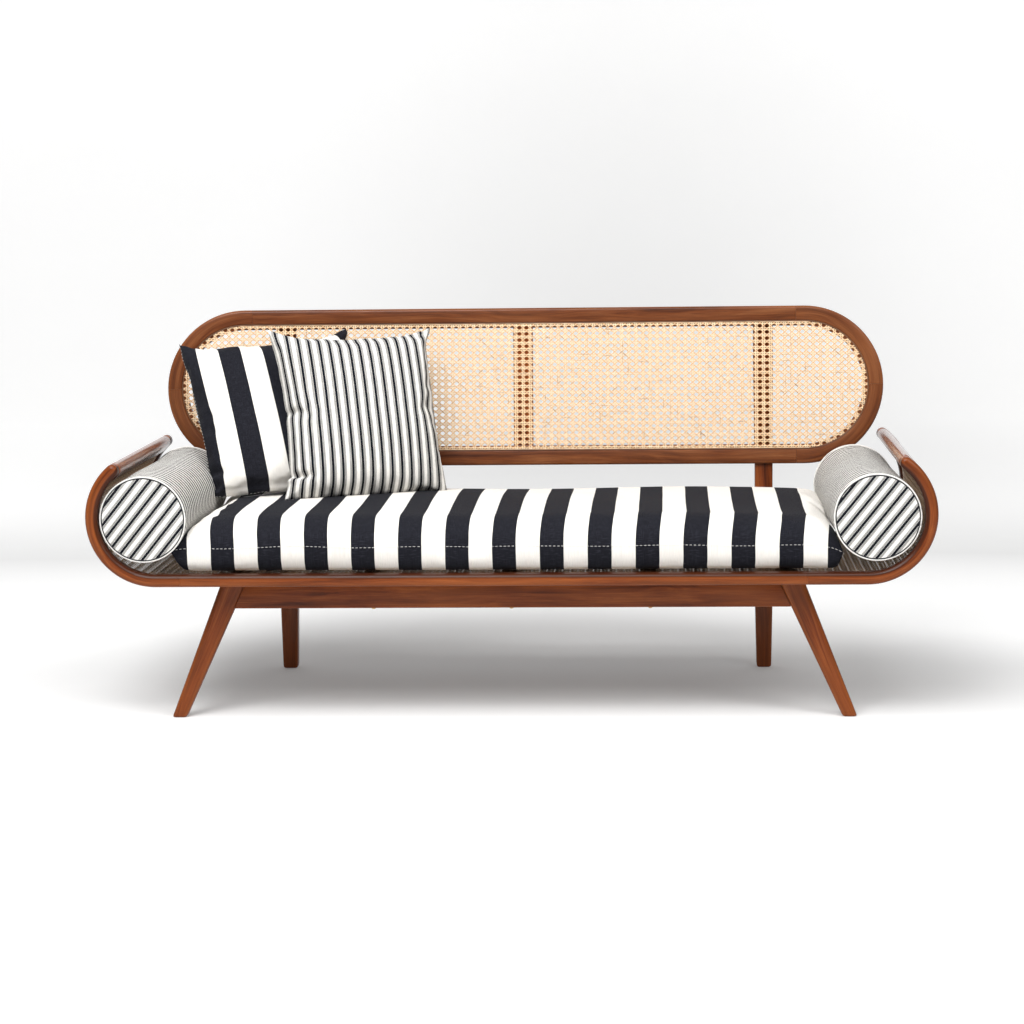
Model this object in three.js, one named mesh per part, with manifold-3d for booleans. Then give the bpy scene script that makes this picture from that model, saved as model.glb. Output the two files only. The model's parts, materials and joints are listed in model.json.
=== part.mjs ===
// Daybed with a caned backrest, a boat-shaped seat frame and loose cushions.
// Millimetres, +Z up, front towards -Y. The origin is on the floor, under the middle of the box
// that just holds the daybed.
import * as THREE from 'three';
import { mergeVertices } from 'three/addons/utils/BufferGeometryUtils.js';
import Module from 'manifold-3d';

const wasm = await Module();
wasm.setup();

// ---------------------------------------------------------------- driving dimensions
const GAP = 0.3; // clearance left at every glued or resting face
const DEGREE = Math.PI / 180;

// Seat frame: two boat-shaped frames, front and rear, with arms that curl up at the ends.
const OVERALL_LENGTH = 1850;
const ARM_RADIUS = 151.5; // outside of the curl
const BAR_WIDTH = 27; // rail thickness, measured across the curl
const BAR_DEPTH = 38;
const BAR_ROUND = 8;
const RAIL_BOTTOM = 303;
const CURL_END = { left: 49.2, right: 53.3 }; // degrees above level where an arm's nose starts
const FRONT_Y = -371.8; // middle of the front frame
const FRAME_SPACING = 681; // front frame middle to rear frame middle
const RAIL_JOINT_LEFT = -720; // straight rail meets the left bow
const RAIL_JOINT_RIGHT = 645;

// Armrest bars between the upper ends of the bows.
const ARMREST_LOW = { left: 46.6, right: 51.7 }; // degrees, middle of the bar's lower rounding
const ARM_CANE_MARGIN = 0.03; // radians left between the arm cane and the armrest
const ARM_CANE_TRIM = 0.86; // level cut of the arm cane, as a share of that height

// Cane deck, seen as a height above the underside of the rail.
const CANE_LIFT = 19;
const CANE_THICK = 2.6;
const CANE_TUCK = 7; // how far its edges run into the rail grooves
const SLAT_WIDTH = 45;
const SLAT_THICK = 18.4;
const SLAT_X = [-600, -305, 0, 305, 600];

// Base: splayed front legs, aprons and side rails.
const LEG_TOP_X = 613;
const LEG_FOOT_X = 741.5;
const LEG_TOP = { width: 55, depth: 42 };
const LEG_FOOT = { width: 32, depth: 34 };
const LEG_Y = FRONT_Y + 77;
const APRON_BOTTOM = 244;
const APRON_THICK = 24;
const APRON_Y = FRONT_Y + 74;
const SIDE_RAIL_BOTTOM = 254;
const SIDE_RAIL_THICK = 24;
const REAR_APRON_THICK = 22;
const FOOT_EDGE = [[0, 7], [1.4, 2.5], [4, 0]]; // height and how much narrower the foot is there

// Back posts: one piece from the floor to the top of the backrest.
const POST_X = 574.5;
const POST_FRONT_Y = FRONT_Y + 686;
const POST_DEPTH = 40;
const POST_TONGUE = 20; // thickness of the part behind the backrest
const POST_ROUND = 5;
const POST_WIDTHS = [[0, 35], [150, 41.5], [480, 42.5], [700, 47], [900, 47]]; // height, width
const POST_RAIL_WIDTH = 43; // width where the side rails meet the posts
const POST_TONGUE_FOOT = 20; // where the tongue takes its full slope, above the backrest's middle
const POST_TONGUE_TOP = 14; // how far below the top of the backrest the tongue ends

// Backrest: a stadium-shaped frame that leans back.
const BACK_HALF_LENGTH = 859;
const BACK_RADIUS = 188.3;
const BACK_DEPTH = 30;
const BACK_FACE = 34; // visible face of the frame
const BACK_LEDGE = 13; // ledge behind the cane
const BACK_RECESS = 5; // ledge depth below the face
const BACK_ROUND = 7;
const BACK_LEAN = 5.97 * DEGREE;
const BACK_CENTER = { y: FRONT_Y + 707, z: 681.3 };
const BACK_JOINT = 652; // straight rails meet the quarter bows
const CENTER_SLAT_WIDTH = 47;
const CENTER_SLAT_THICK = 16;
const SHEET_THICK = 2; // back cane
const SPLINE_WIDTH = 3;

// Loose cushions.
const SEAT_CUSHION = {
  width: 1386, depth: 650, thick: 119, edge: 14, reach: 80, x: -4, y: FRONT_Y + 337,
};
const SEAT_CUSHION_BASE = RAIL_BOTTOM + BAR_WIDTH + 0.6;
const PILLOW = { width: 366, depth: 366, thick: 100, edge: 12, reach: 150 };
const TICKING_PILLOW = { x: -376, y: FRONT_Y + 504, z: 640, turn: 16, lean: 16.5, roll: 2 };
const STRIPED_PILLOW = { x: -544, y: FRONT_Y + 583, z: 637, turn: 11, lean: 26, roll: 6 };
const BOLSTERS = { // centre of the front end; turn and lift swing the rear end left and up
  left: { x: -799.8, z: 451, radius: 95, turn: 0.45, lift: 0.25 },
  right: { x: 796, z: 448.5, radius: 95, turn: 0.95, lift: 0 },
};
const BOLSTER_LENGTH = 650;
const BOLSTER_FRONT = FRONT_Y - 6;
const BOLSTER_EDGE = 7;
const COVER = 2.5; // fabric and its padding
const ZIP_HEIGHT = 6;
const ZIP_THICK = 2;
const SEAT_ZIP_SHARE = 0.36; // half the zip's length, as a share of the cushion's side
const PILLOW_ZIP_SHARE = 0.3;
const BOLSTER_ZIP_SHARE = 0.38;

// Fasteners.
const SCREW = { shank: 2.5, head: 5, headThick: 3, length: 38 };
const BOLT = { shank: 4, head: 9, headThick: 3.5, length: 46 };
const BORE_SPARE = 0.4; // clearance round a fastener
const SCREW_ABOVE_APRON = 12; // how far the apron screws reach into the slats

const CURL_X = OVERALL_LENGTH / 2 - ARM_RADIUS; // centre of the right-hand curl
const CURL_Z = RAIL_BOTTOM + ARM_RADIUS;
const REAR_Y = FRONT_Y + FRAME_SPACING;
const BACK_STRAIGHT = BACK_HALF_LENGTH - BACK_RADIUS;

// ---------------------------------------------------------------- materials
const finish = (color, roughness, metalness = 0) => () =>
  new THREE.MeshStandardMaterial({ color, roughness, metalness });
const wood = finish(0x7a4329, 0.38);
const cane = finish(0xe6c79d, 0.6);
const whiteFabric = finish(0xefeae2, 0.9);
const blackFabric = finish(0x26262b, 0.9);
const filling = finish(0xf4f1e8, 0.95);
const zipTape = finish(0x2a2a2e, 0.7);
const brass = finish(0xb08d57, 0.35, 1);

// ---------------------------------------------------------------- solids
const daybed = new THREE.Group();

function add(name, geometry, material, parent = daybed) {
  const mesh = new THREE.Mesh(geometry, material());
  mesh.name = name;
  parent.add(mesh);
  return mesh;
}

// Shared vertices merged, only positions kept, faces turned to point outwards.
function tidy(geometry) {
  const plain = geometry.clone();
  plain.deleteAttribute('normal');
  plain.deleteAttribute('uv');
  const merged = mergeVertices(plain, 1e-4);
  const position = merged.attributes.position;
  const index = merged.index.array;
  const corner = [new THREE.Vector3(), new THREE.Vector3(), new THREE.Vector3()];
  let volume = 0;
  for (let i = 0; i < index.length; i += 3) {
    corner.forEach((c, k) => c.fromBufferAttribute(position, index[i + k]));
    volume += corner[0].dot(corner[1].clone().cross(corner[2]));
  }
  if (volume < 0) {
    for (let i = 0; i < index.length; i += 3) {
      [index[i], index[i + 1]] = [index[i + 1], index[i]];
    }
  }
  return merged;
}

function toManifold(geometry) {
  const merged = tidy(geometry);
  return new wasm.Manifold(new wasm.Mesh({
    numProp: 3,
    vertProperties: Float32Array.from(merged.attributes.position.array),
    triVerts: Uint32Array.from(merged.index.array),
  }));
}

function fromManifold(body) {
  const mesh = body.getMesh();
  const geometry = new THREE.BufferGeometry();
  geometry.setAttribute('position', new THREE.BufferAttribute(mesh.vertProperties, 3));
  geometry.setIndex(new THREE.BufferAttribute(mesh.triVerts, 1));
  geometry.computeVertexNormals();
  return geometry;
}

// A geometry with other geometries cut out of it.
function cut(geometry, ...tools) {
  let body = toManifold(geometry);
  for (const tool of tools) {
    body = body.subtract(toManifold(tool));
  }
  return fromManifold(body);
}

// The part of a geometry that lies inside another one.
function keep(geometry, inside) {
  return fromManifold(toManifold(geometry).intersect(toManifold(inside)));
}

function box(x0, x1, y0, y1, z0, z1) {
  const geometry = new THREE.BoxGeometry(x1 - x0, y1 - y0, z1 - z0);
  return geometry.translate((x0 + x1) / 2, (y0 + y1) / 2, (z0 + z1) / 2);
}

// A shape extruded to a thickness and centred on it, its edges rounded over.
function slab(shape, thick, round = 0, curveSegments = 10, inset = round) {
  const options = { depth: thick - 2 * round, bevelEnabled: round > 0, curveSegments };
  if (round > 0) {
    Object.assign(options, {
      bevelThickness: round, bevelSize: inset, bevelOffset: -inset, bevelSegments: 2,
    });
  }
  return new THREE.ExtrudeGeometry(shape, options).translate(0, 0, -options.depth / 2);
}

// Turns a slab drawn in x and z so that its thickness runs along y.
const faceFront = (geometry) => geometry.rotateX(Math.PI / 2);

// Turns a slab drawn in y and z so that its thickness runs along x.
const faceSide = (geometry) => geometry.rotateX(Math.PI / 2).rotateZ(Math.PI / 2);

function polygon(points) {
  return new THREE.Shape(points.map(([u, v]) => new THREE.Vector2(u, v)));
}

// ---------------------------------------------------------------- seat frame
// A band of the boat profile between two heights above the underside of the rail.
function boatShape(low, high, roundNose) {
  const outer = ARM_RADIUS - low;
  const inner = ARM_RADIUS - high;
  const left = CURL_END.left * DEGREE;
  const right = CURL_END.right * DEGREE;
  const nose = (inner + outer) / 2;
  const half = (outer - inner) / 2;
  const shape = new THREE.Shape();
  shape.moveTo(-CURL_X, CURL_Z - outer);
  shape.lineTo(CURL_X, CURL_Z - outer);
  shape.absarc(CURL_X, CURL_Z, outer, -Math.PI / 2, right);
  if (roundNose) {
    const x = CURL_X + nose * Math.cos(right);
    shape.absarc(x, CURL_Z + nose * Math.sin(right), half, right, right + Math.PI);
  }
  shape.absarc(CURL_X, CURL_Z, inner, right, -Math.PI / 2, true);
  shape.lineTo(-CURL_X, CURL_Z - inner);
  shape.absarc(-CURL_X, CURL_Z, inner, -Math.PI / 2, Math.PI - left, true);
  if (roundNose) {
    const x = -CURL_X - nose * Math.cos(left);
    shape.absarc(x, CURL_Z + nose * Math.sin(left), half, -left, Math.PI - left);
  }
  shape.absarc(-CURL_X, CURL_Z, outer, Math.PI - left, 1.5 * Math.PI);
  return shape;
}

// One boat frame at depth y, in three pieces. inward is +1 when the cane lies towards +Y.
function addBoatFrame(prefix, y, inward, bores) {
  const bar = faceFront(slab(boatShape(0, BAR_WIDTH, true), BAR_DEPTH, BAR_ROUND));
  const grooveShape = boatShape(CANE_LIFT - GAP, CANE_LIFT + CANE_THICK + GAP, false);
  const groove = faceFront(slab(grooveShape, 2 * CANE_TUCK + 2 * GAP));
  groove.translate(0, inward * BAR_DEPTH / 2, 0);
  const whole = cut(bar, groove).translate(0, y, 0);
  const reach = OVERALL_LENGTH;
  const slices = {
    [`${prefix}_left_arm_bow`]: [-reach, RAIL_JOINT_LEFT - GAP / 2],
    [`${prefix}_rail`]: [RAIL_JOINT_LEFT + GAP / 2, RAIL_JOINT_RIGHT - GAP / 2],
    [`${prefix}_right_arm_bow`]: [RAIL_JOINT_RIGHT + GAP / 2, reach],
  };
  for (const [name, [x0, x1]] of Object.entries(slices)) {
    const piece = keep(whole, box(x0, x1, y - 50, y + 50, 0, 700));
    add(name, bores.length && name.endsWith('_rail') ? cut(piece, ...bores) : piece, wood);
  }
}

function addArmrests() {
  const radius = ARM_RADIUS - BAR_WIDTH / 2;
  const half = BAR_WIDTH / 2;
  const length = FRAME_SPACING - BAR_DEPTH - 2 * GAP;
  for (const [side, sign] of [['left', -1], ['right', 1]]) {
    const end = CURL_END[side] * DEGREE;
    const low = ARMREST_LOW[side] * DEGREE - half / radius;
    const shape = new THREE.Shape();
    const at = (angle) => [CURL_X + radius * Math.cos(angle), CURL_Z + radius * Math.sin(angle)];
    shape.absarc(...at(low), half, low + Math.PI, low + 2 * Math.PI);
    shape.absarc(...at(end), half, end, end + Math.PI);
    const bar = faceFront(slab(shape, length)).translate(0, (FRONT_Y + REAR_Y) / 2, 0);
    add(`${side}_armrest`, tidy(bar.scale(sign, 1, 1)), wood);
  }
}

function addSeatCane() {
  const depth = FRAME_SPACING - BAR_DEPTH + 2 * (CANE_TUCK - GAP);
  const sheet = faceFront(slab(boatShape(CANE_LIFT, CANE_LIFT + CANE_THICK, false), depth));
  sheet.translate(0, (FRONT_Y + REAR_Y) / 2, 0);
  // The arm lengths stop under the armrests, which cover their upper edges.
  const barAngle = BAR_WIDTH / (ARM_RADIUS - BAR_WIDTH / 2);
  const top = (side) => {
    const stop = ARMREST_LOW[side] * DEGREE - barAngle - ARM_CANE_MARGIN;
    return CURL_Z + ARM_RADIUS * Math.sin(stop) * ARM_CANE_TRIM;
  };
  const split = CURL_X;
  const deep = [FRONT_Y - 10, REAR_Y + 10];
  add('seat_cane', keep(sheet, box(-split + GAP, split - GAP, ...deep, 0, 400)), cane);
  add('left_arm_cane', keep(sheet, box(-1000, -split, ...deep, 0, top('left'))), cane);
  add('right_arm_cane', keep(sheet, box(split, 1000, ...deep, 0, top('right'))), cane);
}

function addSeatSlats(bores) {
  const y0 = FRONT_Y + BAR_DEPTH / 2 + GAP;
  const y1 = REAR_Y - BAR_DEPTH / 2 - GAP;
  const bottom = RAIL_BOTTOM + GAP;
  SLAT_X.forEach((x, i) => {
    const half = SLAT_WIDTH / 2;
    const slat = box(x - half, x + half, y0, y1, bottom, bottom + SLAT_THICK);
    add(`seat_slat_${i + 1}`, bores[i] ? cut(slat, bores[i]) : slat, wood);
  });
}

// ---------------------------------------------------------------- base
// Rounded rectangle with sides of 1, scaled along its length by the sweep.
function unitSection(round) {
  const s = 0.5;
  const shape = new THREE.Shape();
  shape.absarc(s - round, s - round, round, 0, Math.PI / 2);
  shape.absarc(round - s, s - round, round, Math.PI / 2, Math.PI);
  shape.absarc(round - s, round - s, round, Math.PI, 1.5 * Math.PI);
  shape.absarc(s - round, round - s, round, 1.5 * Math.PI, 2 * Math.PI);
  return shape;
}

// Carries a unit section through stations of height, width, depth and x.
function taper(stations, y) {
  const steps = stations.length - 1;
  const options = { depth: 1, steps, bevelEnabled: false, curveSegments: 3 };
  const geometry = new THREE.ExtrudeGeometry(unitSection(0.24), options);
  const position = geometry.attributes.position;
  for (let i = 0; i < position.count; i++) {
    const s = stations[Math.round(position.getZ(i) * steps)];
    position.setXYZ(i, s.x + position.getX(i) * s.width, y + position.getY(i) * s.depth, s.z);
  }
  return tidy(geometry);
}

function addFrontLegs() {
  const top = RAIL_BOTTOM - GAP;
  const mix = (a, b, t) => a + (b - a) * t;
  const at = (z, trim) => ({
    z,
    x: mix(LEG_FOOT_X, LEG_TOP_X, z / RAIL_BOTTOM),
    width: mix(LEG_FOOT.width, LEG_TOP.width, z / RAIL_BOTTOM) - trim,
    depth: mix(LEG_FOOT.depth, LEG_TOP.depth, z / RAIL_BOTTOM) - trim,
  });
  const leg = taper([...FOOT_EDGE.map(([z, trim]) => at(z, trim)), at(top, 0)], LEG_Y);
  add('right_front_leg', leg, wood);
  add('left_front_leg', tidy(leg.clone().scale(-1, 1, 1)), wood);
}

function legInnerX(z) {
  const t = z / RAIL_BOTTOM;
  const x = LEG_FOOT_X + (LEG_TOP_X - LEG_FOOT_X) * t;
  return x - (LEG_FOOT.width + (LEG_TOP.width - LEG_FOOT.width) * t) / 2;
}

function addFrontApron(bores) {
  const top = RAIL_BOTTOM - GAP;
  const upper = legInnerX(top) - GAP;
  const lower = legInnerX(APRON_BOTTOM) - GAP;
  const shape = polygon([
    [-lower, APRON_BOTTOM], [lower, APRON_BOTTOM], [upper, top], [-upper, top],
  ]);
  const board = faceFront(slab(shape, APRON_THICK)).translate(0, APRON_Y, 0);
  add('front_apron', cut(board, ...bores), wood);
}

function addRearApron() {
  const half = POST_X - POST_RAIL_WIDTH / 2 - GAP;
  const y = POST_FRONT_Y + POST_DEPTH / 2;
  const top = RAIL_BOTTOM - GAP;
  const thick = REAR_APRON_THICK / 2;
  const board = box(-half, half, y - thick, y + thick, SIDE_RAIL_BOTTOM, top);
  add('rear_apron', board, wood);
}

function addSideRails() {
  const inner = POST_X + POST_RAIL_WIDTH / 2 + GAP;
  const y0 = LEG_Y + LEG_TOP.depth / 2 + GAP;
  const y1 = POST_FRONT_Y + POST_DEPTH - 2;
  for (const [name, side] of [['left_side_rail', -1], ['right_side_rail', 1]]) {
    const xs = [side * inner, side * (inner + SIDE_RAIL_THICK)].sort((a, b) => a - b);
    add(name, box(...xs, y0, y1, SIDE_RAIL_BOTTOM, RAIL_BOTTOM - GAP), wood);
  }
}

// ---------------------------------------------------------------- back posts
// A point of the leaning backrest: d behind its middle plane, h above its middle.
function backPoint(d, h) {
  return [
    BACK_CENTER.y + d * Math.cos(BACK_LEAN) + h * Math.sin(BACK_LEAN),
    BACK_CENTER.z - d * Math.sin(BACK_LEAN) + h * Math.cos(BACK_LEAN),
  ];
}

function postWidth(z) {
  const next = Math.max(1, POST_WIDTHS.findIndex(([height]) => height > z));
  const [z0, w0] = POST_WIDTHS[next - 1];
  const [z1, w1] = POST_WIDTHS[next];
  return w0 + (w1 - w0) * (z - z0) / (z1 - z0);
}

function addPosts(bores) {
  const behind = BACK_DEPTH / 2 + GAP;
  const foot = -BACK_RADIUS;
  const shoulder = backPoint(behind, foot - GAP);
  const face = backPoint(-BACK_DEPTH / 2, foot - GAP);
  const y0 = POST_FRONT_Y;
  const y1 = y0 + POST_DEPTH;
  const shape = polygon([
    [y0 + 5, 0], [y1 - 7, 0], [y1 - 4, 3], [y1 - 1, 150], [y1, SIDE_RAIL_BOTTOM], [y1, 480],
    backPoint(behind + POST_TONGUE, POST_TONGUE_FOOT),
    backPoint(behind + POST_TONGUE, BACK_RADIUS - POST_TONGUE_TOP),
    backPoint(behind, BACK_RADIUS - POST_TONGUE_TOP), backPoint(behind, POST_TONGUE_FOOT),
    shoulder, [y0, face[1] + (face[0] - y0) * Math.tan(BACK_LEAN)], [y0, 330],
    [y0, SIDE_RAIL_BOTTOM], [y0 + 1, 150], [y0 + 2, 3],
  ]);
  const post = faceSide(slab(shape, 1, POST_ROUND / POST_RAIL_WIDTH, 1, POST_ROUND));
  const position = post.attributes.position;
  for (let i = 0; i < position.count; i++) {
    position.setX(i, position.getX(i) * postWidth(position.getZ(i)));
  }
  const rail = box(-100, 100, y0 - 50, REAR_Y + BAR_DEPTH / 2 + GAP,
    RAIL_BOTTOM - GAP, RAIL_BOTTOM + BAR_WIDTH + GAP);
  const carved = cut(post, rail);
  for (const [name, side] of [['left_back_post', -1], ['right_back_post', 1]]) {
    const placed = carved.clone().translate(side * POST_X, 0, 0);
    add(name, cut(placed, ...bores), wood);
  }
}

// ---------------------------------------------------------------- backrest
function stadium(radius, holeRadius) {
  const ring = (shape, r) => {
    shape.moveTo(-BACK_STRAIGHT, -r);
    shape.lineTo(BACK_STRAIGHT, -r);
    shape.absarc(BACK_STRAIGHT, 0, r, -Math.PI / 2, Math.PI / 2);
    shape.lineTo(-BACK_STRAIGHT, r);
    shape.absarc(-BACK_STRAIGHT, 0, r, Math.PI / 2, 1.5 * Math.PI);
    return shape;
  };
  const shape = ring(new THREE.Shape(), radius);
  if (holeRadius) {
    shape.holes.push(ring(new THREE.Path(), holeRadius));
  }
  return shape;
}

function addBackrest(backrest, bores) {
  const front = -BACK_DEPTH / 2;
  const ledge = front + BACK_RECESS;
  const groove = BACK_RADIUS - BACK_FACE;
  const open = groove - BACK_LEDGE;
  const ring = faceFront(slab(stadium(BACK_RADIUS, open), BACK_DEPTH, BACK_ROUND, 14));
  const recess = faceFront(slab(stadium(groove), 40, 0, 14)).translate(0, ledge - 20, 0);
  const slot = stadium(groove - GAP, groove - SPLINE_WIDTH - 2 * GAP);
  const channel = faceFront(slab(slot, 10, 0, 14)).translate(0, ledge, 0);
  const frame = cut(ring, recess, channel, ...bores);
  const far = 1000;
  const half = GAP / 2;
  const blocks = {
    backrest_top_rail: [-BACK_JOINT + half, BACK_JOINT - half, 0, far],
    backrest_bottom_rail: [-BACK_JOINT + half, BACK_JOINT - half, -far, 0],
    backrest_left_upper_bow: [-far, -BACK_JOINT - half, half, far],
    backrest_left_lower_bow: [-far, -BACK_JOINT - half, -far, -half],
    backrest_right_upper_bow: [BACK_JOINT + half, far, half, far],
    backrest_right_lower_bow: [BACK_JOINT + half, far, -far, -half],
  };
  for (const [name, [x0, x1, z0, z1]] of Object.entries(blocks)) {
    add(name, keep(frame, box(x0, x1, -50, 50, z0, z1)), wood, backrest);
  }
  const spline = slab(stadium(groove - 2 * GAP, groove - SPLINE_WIDTH - GAP), 8, 0, 14);
  add('backrest_cane_spline', tidy(faceFront(spline).translate(0, ledge, 0)), cane, backrest);
  const sheet = slab(stadium(groove - SPLINE_WIDTH - 2 * GAP), SHEET_THICK, 0, 14);
  const sheetMiddle = ledge - GAP - SHEET_THICK / 2;
  add('backrest_cane', tidy(faceFront(sheet).translate(0, sheetMiddle, 0)), cane, backrest);
  const reach = open - GAP;
  const width = CENTER_SLAT_WIDTH / 2;
  const slatFront = ledge + GAP;
  const slat = box(-width, width, slatFront, slatFront + CENTER_SLAT_THICK, -reach, reach);
  add('backrest_center_slat', slat, wood, backrest);
}

// ---------------------------------------------------------------- cushions
// Places along one side of a pad, closest together near its two edges.
function padStations(half, reach) {
  const near = [0, 0.08, 0.35, 1].map((t) => half - t * reach);
  return [...near.map((v) => -v), ...near.reverse()];
}

// A puffed pad: it rises from a narrow edge to its full thickness within reach of the edge.
function pad({ width, depth, thick, edge, reach }, inset = 0) {
  const half = { x: width / 2 - inset, y: depth / 2 - inset };
  const xs = padStations(half.x, reach);
  const ys = padStations(half.y, reach);
  const last = xs.length - 1;
  const rise = (v, limit) => {
    const t = Math.min((limit - Math.abs(v)) / reach, 1);
    return Math.sqrt(1 - (1 - t) ** 2);
  };
  const geometry = new THREE.BoxGeometry(1, 1, 2, last, last, 1);
  const position = geometry.attributes.position;
  for (let i = 0; i < position.count; i++) {
    const x = xs[Math.round((position.getX(i) + 0.5) * last)];
    const y = ys[Math.round((position.getY(i) + 0.5) * last)];
    const height = edge / 2 - inset
      + (thick - edge) / 2 * rise(x, half.x) * rise(y, half.y);
    position.setXYZ(i, x, y, height * Math.sign(position.getZ(i)));
  }
  return geometry;
}

// A cover with a zip slit, its zip, and the filled insert inside it.
function addSoftPiece(name, size, slit, zip, fabric, parent, form = pad) {
  add(`${name}_cover`, cut(form(size), form(size, COVER), slit), fabric, parent);
  add(`${name}_insert`, tidy(form(size, COVER + 1)), filling, parent);
  add(`${name}_zip`, zip, zipTape, parent);
}

function addSeatCushion() {
  const { width, depth, thick, x, y } = SEAT_CUSHION;
  const group = new THREE.Group();
  group.position.set(x, y, SEAT_CUSHION_BASE + thick / 2);
  daybed.add(group);
  const zipHalf = width * SEAT_ZIP_SHARE;
  const h = ZIP_HEIGHT / 2;
  const back = depth / 2;
  const slit = box(-zipHalf, zipHalf, back - 12, back + 5, -h, h);
  const zip = box(-zipHalf + GAP, zipHalf - GAP, back - ZIP_THICK - GAP, back - GAP,
    -h + GAP, h - GAP);
  addSoftPiece('seat_cushion', SEAT_CUSHION, slit, zip, blackFabric, group);
}

function addPillow(name, pose, fabric) {
  const group = new THREE.Group();
  group.position.set(pose.x, pose.y, pose.z);
  group.rotation.set(-pose.lean * DEGREE, -pose.roll * DEGREE, pose.turn * DEGREE, 'ZXY');
  daybed.add(group);
  const zipHalf = PILLOW.width * PILLOW_ZIP_SHARE;
  const h = ZIP_HEIGHT / 2;
  const foot = -PILLOW.depth / 2;
  const slit = box(-zipHalf, zipHalf, foot - 20, foot + 8, -h, h);
  const zip = box(-zipHalf + GAP, zipHalf - GAP, foot + GAP, foot + ZIP_THICK, -h + GAP, h - GAP);
  const upright = new THREE.Group();
  upright.rotation.x = Math.PI / 2;
  group.add(upright);
  addSoftPiece(name, PILLOW, slit, zip, fabric, upright);
}

// A plump cylinder along y with softened ends.
function roll({ radius, length }, inset = 0) {
  const r = radius - inset;
  const half = length / 2 - inset;
  const e = BOLSTER_EDGE;
  const profile = [[0, -half], [r - e, -half], [r - e * 0.3, -half + e * 0.3], [r, -half + e],
    [r, half - e], [r - e * 0.3, half - e * 0.3], [r - e, half], [0, half]];
  return new THREE.LatheGeometry(profile.map(([u, v]) => new THREE.Vector2(u, v)), 20);
}

function addBolster(side) {
  const { x, z, radius, turn, lift } = BOLSTERS[side];
  const front = new THREE.Group();
  front.position.set(x, BOLSTER_FRONT, z);
  front.rotation.set(lift * DEGREE, 0, turn * DEGREE, 'ZXY');
  daybed.add(front);
  const group = new THREE.Group();
  group.position.y = BOLSTER_LENGTH / 2;
  front.add(group);
  const zipHalf = BOLSTER_LENGTH * BOLSTER_ZIP_SHARE;
  const h = ZIP_HEIGHT / 2;
  const slit = box(-h, h, -zipHalf, zipHalf, -radius - 5, -radius + 12);
  const zip = box(-h + GAP, h - GAP, -zipHalf + GAP, zipHalf - GAP,
    -radius + 0.5, -radius + 0.5 + ZIP_THICK);
  addSoftPiece(`${side}_bolster`, { radius, length: BOLSTER_LENGTH }, slit, zip, whiteFabric,
    group, roll);
}

// ---------------------------------------------------------------- fasteners
// A round-headed screw along +Y: its head's inner face is at the origin.
function fastener({ shank, head, headThick, length }, spare = 0) {
  const s = shank + spare;
  const h = head + spare;
  const profile = [[0, -headThick - spare], [h * 0.72, -headThick - spare],
    [h, -headThick * 0.45], [h, spare], [s, spare], [s, length - s + spare],
    [s * 0.4, length + spare], [0, length + spare]];
  return new THREE.LatheGeometry(profile.map(([u, v]) => new THREE.Vector2(u, v)), 8);
}

// Screws through the post tongues into the backrest rails, in the backrest's own frame.
function backScrews() {
  const y = BACK_DEPTH / 2 + GAP + POST_TONGUE;
  const rail = BACK_RADIUS - BACK_FACE / 2 - 7;
  const places = {
    left_post_top_screw: [-POST_X, rail], left_post_bottom_screw: [-POST_X, -rail],
    right_post_top_screw: [POST_X, rail], right_post_bottom_screw: [POST_X, -rail],
  };
  return Object.entries(places).map(([name, [x, z]]) => {
    const place = (g) => g.rotateX(Math.PI).translate(x, y, z);
    return { name, body: place(fastener(SCREW)), bore: place(fastener(SCREW, BORE_SPARE)) };
  });
}

// Bolts through the posts into the rear rail.
function postBolts() {
  const y = POST_FRONT_Y + POST_DEPTH;
  const z = RAIL_BOTTOM + BAR_WIDTH / 2;
  return [['left_post_bolt', -POST_X], ['right_post_bolt', POST_X]].map(([name, x]) => {
    const place = (g) => g.rotateX(Math.PI).translate(x, y, z);
    return { name, body: place(fastener(BOLT)), bore: place(fastener(BOLT, BORE_SPARE)) };
  });
}

// Screws up through the front apron into three of the seat slats.
function apronScrews() {
  const long = { ...SCREW, length: RAIL_BOTTOM - APRON_BOTTOM + SCREW_ABOVE_APRON };
  return ['left', 'center', 'right'].map((where, i) => {
    const x = SLAT_X[1 + i];
    const place = (g) => g.rotateX(Math.PI / 2).translate(x, APRON_Y, APRON_BOTTOM);
    return {
      name: `apron_${where}_screw`, slat: 1 + i,
      body: place(fastener(long)), bore: place(fastener(long, BORE_SPARE)),
    };
  });
}

// ---------------------------------------------------------------- assembly
const backrest = new THREE.Group();
backrest.position.set(0, BACK_CENTER.y, BACK_CENTER.z);
backrest.rotation.x = -BACK_LEAN;
backrest.updateMatrix();
daybed.add(backrest);

const screws = backScrews();
const bolts = postBolts();
const riser = apronScrews();
const slatBores = Object.fromEntries(riser.map((screw) => [screw.slat, screw.bore]));
const postBores = [
  ...screws.map(({ bore }) => bore.clone().applyMatrix4(backrest.matrix)),
  ...bolts.map(({ bore }) => bore),
];

addBoatFrame('front', FRONT_Y, 1, []);
addBoatFrame('rear', REAR_Y, -1, bolts.map(({ bore }) => bore));
addArmrests();
addSeatCane();
addSeatSlats(slatBores);
addFrontLegs();
addFrontApron(riser.map(({ bore }) => bore));
addRearApron();
addSideRails();
addPosts(postBores);
addBackrest(backrest, screws.map(({ bore }) => bore));
screws.forEach(({ name, body }) => add(name, tidy(body), brass, backrest));
[...bolts, ...riser].forEach(({ name, body }) => add(name, tidy(body), brass));
addSeatCushion();
addPillow('striped_pillow', STRIPED_PILLOW, blackFabric);
addPillow('ticking_pillow', TICKING_PILLOW, whiteFabric);
addBolster('left');
addBolster('right');

export default daybed;
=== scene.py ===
import json
import math

import bpy
import numpy as np
from mathutils import Matrix, Vector

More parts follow.
